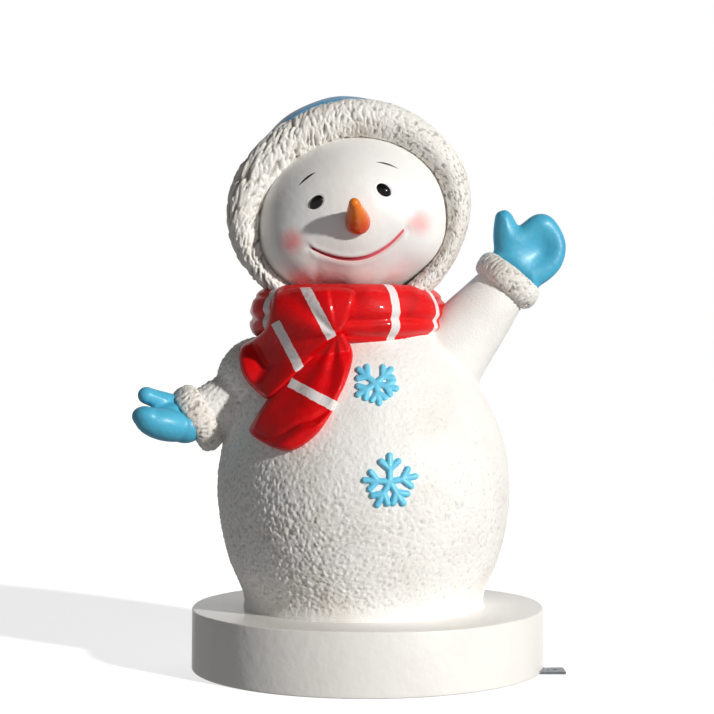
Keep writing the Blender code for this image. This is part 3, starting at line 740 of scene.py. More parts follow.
# %% Torso and sleeves as one form
TORSO_X = -0.0075
TORSO_OUTLINE = (
    (0.112, 0.243), (0.121, 0.2405), (0.130, 0.2370), (0.145, 0.2385), (0.160, 0.2435), (0.213, 0.266),
    (0.280, 0.2835), (0.352, 0.2905), (0.420, 0.285), (0.490, 0.266), (0.550, 0.237), (0.605, 0.202),
    (0.660, 0.157), (0.718, 0.104),
)
WAVING_SHOULDER = Vector((0.117, -0.020, 0.568))
WAVING_WRIST = Vector((0.279, -0.020, 0.767))
WAVING_RADII = (0.096, 0.050)
OPEN_SHOULDER = Vector((-0.187, 0.000, 0.585))
OPEN_WRIST = Vector((-0.336, -0.030, 0.4955))
OPEN_ROOT = Vector((-0.190, -0.005, 0.562))
OPEN_RADII = (0.066, 0.053)
OPEN_BULGE = Vector((-0.211, -0.005, 0.568))
OPEN_BULGE_RADIUS = 0.0895
BODY_VOXEL = 0.0060


def torso_front(x, z):
    """How far forward the torso's skin is at x and z, as y."""
    heights, radii = np.array(TORSO_OUTLINE).T
    radius = np.interp(z, heights, radii)
    return -np.sqrt(np.clip(radius**2 - (x - TORSO_X) ** 2, 0.0001, None))


def sleeve(name, shoulder, wrist, radii):
    """A cone from shoulder to wrist, a little slimmer than straight half-way, with a ball at its root."""
    way = wrist - shoulder
    root, end = radii
    line = smooth_line(((-0.02, root), (way.length / 2, root * 0.46 + end * 0.55), (way.length, end)), 6)
    tube = turned(name, line, 64, frame_along(shoulder, way))
    return joined(name, tube, ball(name + "_shoulder", shoulder, root))


def snow_form():
    torso = turned("torso", smooth_line(TORSO_OUTLINE, 3), 128, Matrix.Translation((TORSO_X, 0, 0)))
    waving = sleeve("waving_sleeve", WAVING_SHOULDER, WAVING_WRIST, WAVING_RADII)
    held_out = sleeve("open_sleeve", OPEN_ROOT, OPEN_WRIST, OPEN_RADII)
    bulge = ball("open_bulge", OPEN_BULGE, OPEN_BULGE_RADIUS)
    return remeshed(joined("snow_body", torso, waving, held_out, bulge), BODY_VOXEL, 10)


# %% Stipple
WEIGHT_STEPS = 20


def raised(obj, name, kind, size, strength, where="", **settings):
    """Displaces a mesh by a procedural texture of about that size, all over or where a group says."""
    texture = bpy.data.textures.new(name, kind)
    texture.noise_scale = size
    for setting, value in settings.items():
        setattr(texture, setting, value)
    modify(obj, "DISPLACE", texture=texture, texture_coords="LOCAL", strength=strength, mid_level=0.5,
           vertex_group=where)


def weighted(obj, name, weights):
    """A vertex group that says how strongly each point is moved, in even steps of weight."""
    group = obj.vertex_groups.new(name=name)
    steps = np.round(np.clip(weights, 0, 1) * WEIGHT_STEPS).astype(int)
    for step in range(1, WEIGHT_STEPS + 1):
        group.add(np.flatnonzero(steps == step).tolist(), step / WEIGHT_STEPS, "REPLACE")


def stipple_strength(x, y, z):
    """Strong low on the head's right and on the sleeves, weak high on the left, and least at the fillet."""
    turn = np.arctan2(y, x - TORSO_X)
    strength = 0.52 - 0.25 * np.clip((z - 0.36) / 0.2, 0, 1) - 0.22 * np.clip(x / 0.25, -0.6, 1)
    strength += 0.30 * hump(z - 0.26, 0.13) + 0.12 * np.sin(3 * turn + 8 * z)
    strength += 0.25 * np.clip((np.abs(x) - 0.19) / 0.08, 0, 1) * (z > 0.50)
    return strength * np.clip((z - 0.128) / 0.02, 0.15, 1)


def stipple(body):
    modify(body, "SUBSURF", subdivision_type="SIMPLE", levels=1, render_levels=1)
    out = normals(body)
    weighted(body, "stipple", stipple_strength(*places(body).T))
    raised(body, "swell", "CLOUDS", 0.10, 0.004)
    smooth = places(body)
    raised(body, "dabs", "CLOUDS", 0.0066, 0.0056, "stipple", noise_depth=1)
    raised(body, "grain", "STUCCI", 0.0040, 0.0022, "stipple", turbulence=6)
    height = ((places(body) - smooth) * out).sum(axis=1)
    spread = height.std()
    remember(body, "relief", np.clip(0.5 + height / spread * 0.16, 0, 1))
    body.vertex_groups.clear()
    print("the stipple stands", round(spread * 1000, 2), "mm from its mean")
    return body


# %% [markdown]
# The real torso is two half shells, front and rear, ground flush where they meet, and each sleeve is a
# moulding of its own. The skin is parted there too, face by face, and each piece keeps the normals of the
# whole, so that no line shows.

# %% Part the skin
SLEEVE_ROOT = 0.075
SLEEVE_GIRTH = 0.13


def on_sleeve(shoulder, wrist):
    """A test for points past a sleeve's root and near its axis."""
    way = np.array((wrist - shoulder).normalized())

    def test(points):
        offset = points - np.array(shoulder)
        along = offset @ way
        aside = np.linalg.norm(offset - along[:, None] * way, axis=1)
        return (along > SLEEVE_ROOT) & (aside < SLEEVE_GIRTH)
    return test


on_waving_sleeve = on_sleeve(WAVING_SHOULDER, WAVING_WRIST)
on_open_sleeve = on_sleeve(OPEN_SHOULDER, OPEN_WRIST)


def on_torso(side):
    """A test for the torso's front (side -1) or rear (side 1), without the sleeves."""
    return lambda points: (points[:, 1] * side > 0) & ~on_waving_sleeve(points) & ~on_open_sleeve(points)


def parted(body, name, keep):
    """A copy of the body with only the faces that pass the test, and the whole's normals there."""
    whole = normals(body)
    pick(body)
    bpy.ops.object.duplicate()
    part = named(bpy.context.object, name)
    remember(part, "first_index", np.arange(len(whole)))
    choose_faces(part, lambda centres: ~keep(centres))
    bpy.ops.mesh.delete(type="FACE")
    bpy.ops.object.mode_set(mode="OBJECT")
    layer = part.data.attributes["first_index"]
    index = np.empty(len(part.data.vertices))
    layer.data.foreach_get("value", index)
    part.data.attributes.remove(layer)
    return part, whole[index.astype(int)]


snow_body = stipple(snow_form())
for name, keep, nodes in (
    ("snow_front", on_torso(-1), ("torso_front_shell", "base_fillet")),
    ("snow_rear", on_torso(1), ("torso_rear_shell",)),
    ("waving_sleeve", on_waving_sleeve, ("waving_arm_sleeve",)),
    ("open_sleeve", on_open_sleeve, ("open_arm_sleeve",)),
):
    part, directions = parted(snow_body, name, keep)
    finish_piece(part, SNOW_PAINT, "snow_texture", *nodes)
    part.data.normals_split_custom_set_from_vertices(directions)
bpy.data.objects.remove(snow_body)

# %% [markdown]
# ## The head
# A sphere primitive with its poles at the ears, so that the face has an even grid, cut off behind the
# brim of the hat. Where the smile and the eyes are, the grid is subdivided, and the points are
# then pushed as a sculptor would: cheeks and chin out, eye sockets and the smile's groove in.

# %% Head
HEAD_BACK = 0.010
EYE_SEATS = {"eye_right": (-0.0640, 0.0305, 56), "eye_left": (0.0665, 0.0290, -39)}
EYE_RADII = (0.0125, 0.010, 0.0165)
FACE_LUMPS = (
    (0.116, -0.047, 0.0065, 0.040), (-0.146, -0.038, 0.0115, 0.046), (-0.108, -0.084, 0.0040, 0.026),
    (0.104, -0.092, 0.0025, 0.026), (-0.020, -0.128, 0.0050, 0.034), (0.0, 0.10, 0.0020, 0.060),
)
JAW_LUMPS = ((0.150, -0.090, 0.010, 0.055), (-0.150, -0.090, 0.008, 0.055))
GROOVE_DEPTH = 0.0030
SOCKET_DEPTH = 0.0030
head_place = Matrix.Translation(HEAD_CENTRE) @ Matrix.Rotation(HEAD_TILT, 4, "Y")
head_turn = np.array(head_place.to_3x3())


def in_head(points):
    """Points in the head's own frame."""
    return (points - np.array(HEAD_CENTRE)) @ head_turn


def from_head(points):
    return points @ head_turn.T + np.array(HEAD_CENTRE)


def head_surface(x, z):
    """The point of the head's front at x and z of its own frame, and the outward normal there."""
    a, b, c = HEAD_RADII
    y = -b * math.sqrt(1 - (x / a) ** 2 - (z / c) ** 2)
    return Vector((x, y, z)), Vector((x / a**2, y / b**2, z / c**2)).normalized()


def lumps(x, z, table):
    """Soft lumps, each (across, up, height, width)."""
    return sum(height * hump(np.hypot(x - across, z - up), width) for across, up, height, width in table)


def smile_relief(x, z):
    """The groove of the smile with a soft lip on each side, and a dimple at each of its ends."""
    smile = (z - SMILE_LOW - SMILE_BEND * x**2) / np.sqrt(1 + (2 * SMILE_BEND * x) ** 2)
    inside = np.clip((SMILE_REACH + 0.002 - np.abs(x)) / 0.008, 0, 1)
    lips = 0.0012 * hump(smile - 0.006, 0.005) + 0.0012 * hump(smile + 0.008, 0.006)
    end = SMILE_LOW + SMILE_BEND * SMILE_REACH**2 + 0.001
    dimples = ((SMILE_REACH + 0.001, end, -0.0016, 0.006), (-SMILE_REACH - 0.001, end, -0.0016, 0.006))
    return inside * (lips - GROOVE_DEPTH * hump(smile, 0.0030)) + lumps(x, z, dimples)


def eye_relief(x, z, across, up, slant):
    """A slanting socket with a low ring round it."""
    lean = math.radians(slant)
    along = (x - across) * math.sin(lean) + (z - up) * math.cos(lean)
    over = (x - across) * math.cos(lean) - (z - up) * math.sin(lean)
    ring = np.hypot(along / EYE_RADII[2], over / EYE_RADII[0])
    return 0.0007 * hump(ring - 1.15, 0.18) - SOCKET_DEPTH * hump(ring, 1.05)


def face_relief(points):
    """How far out each point of the face stands."""
    x, y, z = points.T
    crease = np.hypot(np.clip(np.abs(z + 0.097) - 0.012, 0, None), x + 0.088 - 0.18 * (z + 0.097))
    relief = lumps(x, z, FACE_LUMPS) - 0.0011 * hump(crease, 0.0085) + smile_relief(x, z)
    relief += sum(eye_relief(x, z, *seat) for seat in EYE_SEATS.values())
    return relief * np.clip(-y / 0.03, 0, 1) + lumps(x, z, JAW_LUMPS)


def make_head():
    head = ball("head", HEAD_CENTRE, HEAD_RADII[::-1], (0, math.radians(90) + HEAD_TILT, 0), 288)
    choose_all(head)
    bpy.ops.mesh.bisect(plane_co=head_place @ Vector((0, HEAD_BACK, 0)),
                        plane_no=head_place.to_3x3() @ Vector((0, 1, 0)), clear_outer=True, use_fill=True)

    def detailed(centre):
        x, y, z = in_head(centre).T
        smile = np.abs(z - SMILE_LOW - SMILE_BEND * x**2) < 0.016
        near = smile & (np.abs(x) < SMILE_REACH + 0.012)
        for across, up, _ in EYE_SEATS.values():
            near |= np.hypot(x - across, z - up) < 0.026
        return near & (y < 0)

    choose_faces(head, detailed)
    bpy.ops.mesh.subdivide(number_cuts=2)
    bpy.ops.object.mode_set(mode="OBJECT")
    local = in_head(places(head))
    front = local[:, 1] < 0
    share = np.sqrt(((local / np.array(HEAD_RADII)) ** 2).sum(axis=1))
    local[front] /= share[front][:, None]
    set_places(head, from_head(local))
    push_out(head, face_relief(in_head(places(head))))
    return finish_piece(head, FACE_PAINT, "white_gloss", "head_shell")


make_head()

# %% [markdown]
# The eyes are polished beads set into the sockets. Each starts as a small sphere, drawn out to an egg,
# and its back is flattened so that it sits in the socket as a cabochon does.

# %% Eyes
EYE_FLATTENED = 0.6
EYE_SUNK = 0.0045


def make_eyes():
    for node, (x, z, slant) in EYE_SEATS.items():
        point, normal = head_surface(x, z)
        seat = Matrix.Translation(point) @ normal.to_track_quat("-Y", "Z").to_matrix().to_4x4()
        seat = head_place @ seat @ Matrix.Rotation(math.radians(slant), 4, "Y")
        eye = ball("bead_" + node, (0, 0, 0), EYE_RADII, segments=40)
        local = places(eye)
        local[:, 1] = np.where(local[:, 1] > 0, local[:, 1] * EYE_FLATTENED, local[:, 1]) + EYE_SUNK
        settled(set_places(eye, local), seat)
        finish_piece(eye, EYE_PAINT, "eye_black", node)


make_eyes()

# %% [markdown]
# The carrot is a turned form too, from a round root to a blunt tip, with a few shallow rings left by the
# maker's thumb. It points forwards and a little up.

# %% Carrot
NOSE_SEAT = (0.006, -0.026)
NOSE_LIFT = math.radians(29.5)
NOSE_GUIDE = (
    (-0.015, 0.012), (-0.006, 0.0215), (0.006, 0.0235), (0.018, 0.0216), (0.030, 0.0190), (0.050, 0.0147),
    (0.068, 0.0107), (0.0750, 0.0073), (0.0780, 0.0020),
)


def make_carrot():
    point, _ = head_surface(*NOSE_SEAT)
    forwards = Vector((0, -math.cos(NOSE_LIFT), math.sin(NOSE_LIFT)))
    seat = head_place @ frame_along(point, forwards, Vector((0, 0, 1)))
    nose = turned("carrot", smooth_line(NOSE_GUIDE, 5), 64, seat)
    local = np.array(seat.inverted())[:3, :3] @ (places(nose) - np.array(seat.translation)).T
    along = local[2]
    turn = np.arctan2(local[1], local[0])
    dent = 0.0003 * np.sin(along * 420 + 1.2 * np.sin(turn)) + 0.0005 * np.sin(2 * turn + along * 60)
    push_out(nose, dent * np.clip(along / 0.01, 0, 1) * np.clip((0.076 - along) / 0.01, 0, 1))
    paint = carrot_paint(seat.translation, seat @ Vector((0, 0, NOSE_GUIDE[-1][0])))
    return finish_piece(nose, paint, "carrot_orange", "carrot_nose")


make_carrot()

# %% [markdown]
# ## Fur
# Carved fur is a crowd of overlapping locks, each a long drop with a ridge, deeper at its root. A roll of
# fur starts as a grid primitive, whose rows are wrapped round the roll and whose edges are merged. A
# torus primitive would do for a plain ring, but it has too few rings for hair this fine. The locks are
# stamped on the same grid, keeping the highest at each point, and the points are pushed out by that
# height. One helper carves the brim and both cuffs.

# %% Carving helpers
EDGE_MERGE = 0.00002


def carve(rings, sides, ring_steps, side_step, locks):
    """The height, 0 to 1, of overlapping locks on a roll's grid. A lock is (ring, side, half length, half
    width, lean, height), with lean the angle in radians from the ring's way round to the lock's tip."""
    relief = np.zeros((rings, sides))
    for ring, side, half_length, half_width, lean, height in locks:
        step = ring_steps[ring]
        i, j = [np.arange(-reach, reach + 1) for reach in (
            min(int(half_length / step) + 2, rings // 2 - 1),
            min(int(half_length / side_step) + 2, sides // 2 - 1))]
        s, t = i[:, None] * step, j[None, :] * side_step
        along = (s * math.cos(lean) + t * math.sin(lean)) / half_length
        across = (t * math.cos(lean) - s * math.sin(lean)) / half_width
        across += 0.25 * np.sin(along * 2.4 + ring)
        taper = np.clip(1 - 0.55 * np.clip(along, 0, 1) ** 2 - 0.35 * np.clip(-along, 0, 1) ** 2, 0.1, 1)
        dome = np.clip(1 - (across / taper) ** 2, 0, 1) ** 0.6 * np.clip(1 - along**4, 0, 1)
        stamp = dome * height * (0.80 + 0.20 * along)
        where = np.ix_((ring + i) % rings, (side + j) % sides)
        relief[where] = np.maximum(relief[where], stamp)
    return relief


def outwards(points):
    """The direction straight out of a closed grid of points, at each of them."""
    along = np.roll(points, -1, axis=0) - np.roll(points, 1, axis=0)
    round_it = np.roll(points, -1, axis=1) - np.roll(points, 1, axis=1)
    out = np.cross(along, round_it)
    out /= np.linalg.norm(out, axis=2, keepdims=True)
    from_middle = points - points.mean(axis=1, keepdims=True)
    return out * np.sign((out * from_middle).sum())


def roll(name, points, relief=None, depths=0.0):
    """A grid primitive wrapped into a closed roll of (rings, sides) points, pushed out by its relief."""
    rings, sides, _ = points.shape
    if relief is not None:
        points = points + outwards(points) * ((relief - 0.55) * depths)[..., None]
    clear_selection()
    bpy.ops.mesh.primitive_grid_add(x_subdivisions=sides, y_subdivisions=rings, size=1)
    obj = added(name)
    set_places(obj, np.pad(points, ((0, 1), (0, 1), (0, 0)), mode="wrap").reshape(-1, 3))
    if relief is not None:
        remember(obj, "relief", np.pad(relief, ((0, 1), (0, 1)), mode="wrap"))
    choose_all(obj)
    bpy.ops.mesh.remove_doubles(threshold=EDGE_MERGE)
    return close(obj)


# %% [markdown]
# The brim runs round the face. Its width changes on the way, so a few (angle, inner, outer) guides are
# given about the head's centre, counter-clockwise from the head's left. The locks lean like blown grass
# on the head's right, stand up over the brow, and are short dabs on the head's left.

# %% The hat's fur brim
BRIM_GUIDES = (
    (0, 178, 238), (15, 172, 242), (30, 164, 238), (60, 154, 236), (90, 150, 230), (110, 149, 227),
    (135, 154, 238), (150, 160, 246), (165, 174, 250), (180, 184, 246), (195, 187, 236), (210, 181, 222),
    (240, 174, 216), (270, 176, 212), (300, 168, 212), (315, 172, 216), (330, 178, 220), (345, 180, 229),
)
BRIM_INSET = (0.001, -0.0025)
BRIM_Y = -0.050
BRIM_HALF_DEPTH = 0.044
BRIM_HALF_GIRTH = 0.037
BRIM_RINGS = 720
BRIM_SIDES = 124
BRIM_SOFTENING = 61
BRIM_LOCKS = 11000
DAB_SHARE = ((0, 40, 75, 110, 215, 260, 310, 360), (1, 1, 0.45, 0, 0, 0.7, 1, 1))
UPRIGHT = ((0, 60, 90, 130, 180, 230, 300, 360), (100, 95, 88, 68, 60, 60, 110, 100))
CARVED_DEPTH = ((0, 50, 90, 130, 215, 270, 320, 360),
                (0.0034, 0.0044, 0.0075, 0.0100, 0.0100, 0.006, 0.0036, 0.0034))


def brim_shape():
    """The radius at the middle of each ring, and the grid of points."""
    turn = full_turn(BRIM_RINGS)
    angles, *edges = np.array(BRIM_GUIDES, dtype=float).T
    soften = np.hanning(BRIM_SOFTENING) / np.hanning(BRIM_SOFTENING).sum()
    soft = []
    for edge, inset in zip(edges, BRIM_INSET):
        line = np.interp(np.degrees(turn), angles, edge, period=360) / 1000 + inset
        soft.append(np.convolve(np.tile(line, 3), soften, "same")[BRIM_RINGS:-BRIM_RINGS])
    inner, outer = soft
    section = full_turn(BRIM_SIDES)
    reach = (inner + outer)[:, None] / 2 + (outer - inner)[:, None] / 2 * np.cos(section)
    turn = turn[:, None]
    points = stacked(reach * np.cos(turn), BRIM_Y - BRIM_HALF_DEPTH * np.sin(section), reach * np.sin(turn))
    return (inner + outer) / 2, points


def brim_locks(rng):
    """Locks all round the brim: long ones, and short, dense dabs where their share is high."""
    locks = []
    for _ in range(BRIM_LOCKS):
        ring = int(rng.integers(BRIM_RINGS))
        side = int(rng.integers(BRIM_SIDES))
        turn = ring * math.tau / BRIM_RINGS
        dabs = float(np.interp(math.degrees(turn), *DAB_SHARE))
        if rng.random() > 0.30 + 0.70 * dabs:
            continue
        half_length = (1 - dabs) * rng.uniform(0.009, 0.024) + dabs * rng.uniform(0.0045, 0.0085)
        half_width = (1 - dabs) * rng.uniform(0.0032, 0.0066) + dabs * rng.uniform(0.0026, 0.0044)
        way = float(np.interp(math.degrees(turn), *UPRIGHT)) + rng.normal(0, 9 + 26 * dabs)
        lean = math.radians(way) - turn - math.pi / 2
        locks.append((ring, side, half_length, half_width, lean, rng.uniform(0.62, 1.0)))
    return locks


def make_brim():
    middle, points = brim_shape()
    points = from_head(points.reshape(-1, 3)).reshape(points.shape)
    locks = brim_locks(np.random.default_rng(7))
    relief = carve(BRIM_RINGS, BRIM_SIDES, middle * math.tau / BRIM_RINGS,
                   math.tau * BRIM_HALF_GIRTH / BRIM_SIDES, locks)
    depth = np.interp(np.degrees(full_turn(BRIM_RINGS)), *CARVED_DEPTH)
    brim = roll("fur_brim", points, relief, depth[:, None])
    print("carved", len(locks), "locks in the brim")
    return finish_piece(brim, FUR_PAINT, "carved_fur", "hat_fur_trim")


make_brim()

# %% [markdown]
# ## The hat's crown
# Behind the brim the hat is a smooth blue dome. It is a sphere primitive, cut off inside the brim and
# above the scarf, with soft gathers that fan out from the brim, and a dimple at the back where the cloth
# would be drawn in.

# %% Crown
CROWN_CENTRE = Vector((-0.003, 0.045, 0.020))
CROWN_RADII = (0.222, 0.205, 0.232)
CROWN_FRONT = -0.036
CROWN_FOOT = 0.728
CROWN_WALL = 0.004


def make_crown():
    crown = ball("hat_dome", head_place @ CROWN_CENTRE, CROWN_RADII, (0, HEAD_TILT, 0), 224)
    front = head_place @ Vector((0, CROWN_FRONT, 0))
    for point, facing in ((front, head_place.to_3x3() @ Vector((0, -1, 0))),
                          (Vector((0, 0, CROWN_FOOT)), Vector((0, 0, -1)))):
        choose_all(crown)
        bpy.ops.mesh.bisect(plane_co=point, plane_no=facing, clear_outer=True)
        bpy.ops.object.mode_set(mode="OBJECT")
    x, y, z = (in_head(places(crown)) - np.array(CROWN_CENTRE)).T
    turn = np.arctan2(z, x)
    back = np.clip((y + 0.08) / 0.28, 0, 1)
    gathers = np.sin(7 * turn + 2.2 * np.sin(2 * turn)) * 0.6 + np.sin(13 * turn + 1.0) * 0.4
    dimple = hump(np.hypot(x - 0.01, z - 0.02), 0.035) * (y > 0)
    sag = 0.0035 * gathers * np.sin(back * math.pi) - 0.010 * dimple
    push_out(crown, sag - 0.003 * (1 + np.sin(3 * turn)) * (1 - back))
    modify(crown, "SOLIDIFY", thickness=CROWN_WALL, offset=-1)
    return finish_piece(crown, HAT_BLUE, "light_blue", "hat_crown")


make_crown()

# %% [markdown]
# ## The scarf
# The wrap is a thick roll with three soft folds one above the other. It is a wrapped grid again, and the
# folds are creases pressed into it at two heights. On the real scarf the folds gather to a pinch where the
# tail is drawn out of it; here the creases run on round the whole roll.

# %% Wrap
WRAP_RADIUS = 0.150
WRAP_HALF_THICKNESS = 0.046
WRAP_HALF_HEIGHT = 0.058
WRAP_RINGS = 420
WRAP_SIDES = 104


def wrap_front(x, z):
    """How far forward the wrap's skin is at x and z, as y."""
    lift = np.clip(1 - ((z - WRAP_CENTRE.z) / WRAP_HALF_HEIGHT) ** 2, 0, None) ** 0.5
    within = np.abs(z - WRAP_CENTRE.z) < WRAP_HALF_HEIGHT
    reach = np.where(within, WRAP_RADIUS + WRAP_HALF_THICKNESS * lift, 0.10)
    return WRAP_CENTRE.y - np.sqrt(np.clip(reach**2 - (x - WRAP_CENTRE.x) ** 2, 0.0001, None))


def make_wrap():
    turn = full_turn(WRAP_RINGS)[:, None]
    section = full_turn(WRAP_SIDES)[None, :]
    height = WRAP_HALF_HEIGHT * np.sign(np.sin(section)) * np.abs(np.sin(section)) ** 0.9 + 0 * turn
    reach = WRAP_RADIUS + WRAP_HALF_THICKNESS * np.cos(section) + 0 * turn
    outer = np.clip(np.cos(section), 0, 1) ** 0.3
    upper = -0.006 + 0.006 * np.sin(turn * 2 + 0.6) + 0.004 * np.sin(turn * 5)
    lower = -0.040 + 0.004 * np.sin(turn * 3 + 2.0)
    reach -= outer * (0.0075 * hump(height - upper, 0.0065) + 0.0070 * hump(height - lower, 0.0055))
    reach += outer * 0.0025 * np.sin(turn * 9 + height * 40) * hump(height - 0.02, 0.05)
    tuck = hump(height - 0.034 - 0.004 * np.sin(turn * 4), 0.004) * (np.sin(turn * 2.0 + 1.0) > 0.2)
    reach -= outer * 0.004 * tuck
    points = stacked(reach * np.cos(turn), reach * np.sin(turn), height) + np.array(WRAP_CENTRE)
    wrap = roll("scarf_roll", points)
    modify(wrap, "SMOOTH", factor=0.5, iterations=2)
    return finish_piece(wrap, WRAP_PAINT, "scarf_red", "scarf_wrap")


make_wrap()

# %% [markdown]
# A tail is a thick, soft sheet that lies on the body. Its outline is drawn flat, as one would cut it out:
# a circle primitive is moved onto the outline, filled and extruded. A remesh evens it out, and its points
# are then laid on what is underneath, with a round edge and with folds that fan out from the pinch, where
# the scarf is drawn together.

# %% Cutting and laying a tail
PINCH = (-0.058, 0.655)
TAIL_EDGE = 0.011
TAIL_BACK = 0.004


def cut_out(name, outline, depth, voxel):
    """A flat slab with that (x, z) outline, centred on y = 0."""
    clear_selection()
    bpy.ops.mesh.primitive_circle_add(vertices=len(outline), radius=0.1, fill_type="NGON")
    slab = set_places(added(name), stacked(outline[:, 0], depth / 2, outline[:, 1]))
    choose_all(slab)
    extrude((0, -depth, 0))
    return remeshed(close(slab), voxel, 1)


def edge_distance(x, z, outline):
    """How far each point is from the outline, in the flat."""
    nearest = np.full(len(x), np.inf)
    for (x0, z0), (x1, z1) in zip(outline, np.roll(outline, -1, axis=0)):
        dx, dz = x1 - x0, z1 - z0
        share = np.clip(((x - x0) * dx + (z - z0) * dz) / max(dx * dx + dz * dz, 1e-12), 0, 1)
        nearest = np.minimum(nearest, np.hypot(x - x0 - share * dx, z - z0 - share * dz))
    return nearest


def rounding(x, z, outline, edge):
    """0 on the outline and 1 inside it, rising as a quarter circle over that distance."""
    inside = np.clip(edge_distance(x, z, outline) / edge, 0, 1)
    return np.sqrt(1 - (1 - inside) ** 2)


def pillow(obj, outline, depth, half_thickness, edge):
    """Rounds a slab: full thickness inside, closing to nearly nothing at its edge over that distance."""
    points = places(obj)
    rounded = rounding(points[:, 0], points[:, 2], outline, edge)
    points[:, 1] *= half_thickness / (depth / 2) * rounded * 0.92 + 0.08
    return set_places(obj, points)


def lay(obj, outline, support, thickness, folds):
    """Lays a slab on its support: its back on it, its front over it by the thickness and the folds."""
    points = places(obj)
    x, y, z = points.T
    share = (y.max() - y) / (y.max() - y.min())
    rounded = rounding(x, z, outline, TAIL_EDGE)
    front = thickness * (0.25 + 0.75 * rounded) + folds(x, z) * rounded
    points[:, 1] = support(x, z) + TAIL_BACK - share * (front + TAIL_BACK)
    return set_places(obj, points)


def fan_folds(x, z, marks):
    """Ridges and valleys that run out from the pinch. A mark is (degrees, height, width in degrees)."""
    angle = np.degrees(np.arctan2(z - PINCH[1], x - PINCH[0]))
    angle = np.where(angle > 100, angle - 360, angle)
    far = np.hypot(x - PINCH[0], z - PINCH[1])
    folds = sum(height * hump(angle - at, width) for at, height, width in marks)
    return folds * np.clip(far / 0.045, 0, 1)


# %% [markdown]
# The upper tail comes from under the chin, turns over the wrap and spreads to the head's right. The lower
# tail comes out from under it and hangs down the front, ending in a rolled hem. Thick cloth doesn't
# follow every hollow: below the wrap and the sleeve it hangs clear, and falls back only slowly.

# %% Tails
UPPER_GUIDE = (
    (-0.060, 0.748), (-0.034, 0.744), (-0.022, 0.735), (-0.028, 0.703), (-0.052, 0.660), (-0.085, 0.626),
    (-0.127, 0.587), (-0.160, 0.556), (-0.187, 0.536), (-0.206, 0.543), (-0.232, 0.565), (-0.246, 0.590),
    (-0.251, 0.622), (-0.245, 0.641), (-0.215, 0.656), (-0.196, 0.672), (-0.188, 0.702), (-0.178, 0.738),
    (-0.150, 0.746), (-0.100, 0.748),
)
LOWER_GUIDE = (
    (-0.052, 0.662), (-0.036, 0.645), (-0.028, 0.624), (-0.030, 0.600), (-0.042, 0.563), (-0.054, 0.539),
    (-0.062, 0.519), (-0.083, 0.485), (-0.100, 0.466), (-0.124, 0.448), (-0.146, 0.440), (-0.171, 0.444),
    (-0.200, 0.456), (-0.225, 0.473), (-0.2185, 0.490), (-0.2035, 0.516), (-0.182, 0.546), (-0.140, 0.590),
    (-0.095, 0.630),
)
HEM = ((-0.060, 0.522), (-0.098, 0.499), (-0.124, 0.492), (-0.147, 0.478), (-0.170, 0.464),
       (-0.188, 0.460), (-0.226, 0.478))
UPPER_FANS = ((-255, 0.004, 18), (-222, -0.004, 9), (-196, 0.005, 17), (-171, -0.003, 8), (-152, 0.004, 11))
LOWER_FANS = ((-78, 0.005, 10), (-98, -0.003, 7), (-114, 0.004, 9), (-128, -0.002, 6))
CLOTH_REACH = 0.085
CLOTH_SLOPE = 0.42
SKIN_BLEND = 140
SLAB_DEPTH = 0.020
TAIL_VOXEL = 0.0024


def sleeve_front(x, z):
    """How far forward the held-out sleeve's skin is at x and z, as y: its bulge and its cone."""
    way = OPEN_WRIST - OPEN_ROOT
    root, end = OPEN_RADII
    nearest = np.zeros(len(x))
    balls = [(OPEN_BULGE, OPEN_BULGE_RADIUS)]
    balls += [(OPEN_ROOT + way * share, root + (end - root) * max(share, 0))
              for share in np.linspace(-0.1, 1.0, 45)]
    for centre, radius in balls:
        square = radius**2 - (x - centre.x) ** 2 - (z - centre.z) ** 2
        skin = centre.y - np.sqrt(np.clip(square, 0, None))
        nearest = np.minimum(nearest, np.where(square > 0, skin, 0.0))
    return nearest


def foremost(*skins):
    """The skin that stands furthest forward, with a soft change from one to the next."""
    return -np.log(sum(np.exp(-skin * SKIN_BLEND) for skin in skins)) / SKIN_BLEND


def draped(*skins):
    """Where a thick cloth lies on skins. Below a bulge it falls back no faster than its slope."""
    def support(x, z):
        rises = np.linspace(0, CLOTH_REACH, 35)
        return np.min([foremost(*(skin(x, z + rise) for skin in skins)) + CLOTH_SLOPE * rise
                       for rise in rises], axis=0)
    return support


def upper_folds(x, z):
    """Broad swells with shallow valleys between them, and a low lobe at the tail's outer end."""
    return fan_folds(x, z, UPPER_FANS) + 0.006 * hump(np.hypot(x + 0.235, z - 0.60), 0.090)


def lower_folds(x, z):
    """Ridges and valleys down the tail, and a hem that is rolled up along its fold line."""
    hem = edge_distance(x, z, np.array(HEM + HEM[::-1]))
    below = z < np.interp(x, *np.array(HEM[::-1]).T)
    rolled = 0.009 * hump(hem - 0.015, 0.012) * below - 0.006 * hump(hem, 0.005)
    return fan_folds(x, z, LOWER_FANS) + rolled


def make_tail(name, guide, support, thickness, folds, material, node):
    outline = smooth_line(guide, 5, closed=True)
    tail = cut_out(name, outline, SLAB_DEPTH, TAIL_VOXEL)
    lay(tail, outline, support, thickness, folds)
    modify(tail, "SMOOTH", factor=0.5, iterations=3)
    return finish_piece(tail, material, "scarf_red", node)


make_tail("scarf_crossing_tail", UPPER_GUIDE, draped(torso_front, wrap_front, sleeve_front), 0.020,
          upper_folds, UPPER_TAIL_PAINT, "scarf_upper_tail")
make_tail("scarf_hanging_tail", LOWER_GUIDE, draped(torso_front, wrap_front), 0.018,
          lower_folds, LOWER_TAIL_PAINT, "scarf_lower_tail")

# %% [markdown]
# ## Cuffs and mittens
# A cuff is a small roll of carved fur round the wrist. The mittens are plump: the raised one is drawn as
# a flat outline and filled out like a pillow, with its palm pressed in; the held-out one is built from a
# few balls that are melted together, since it is seen from its edge.

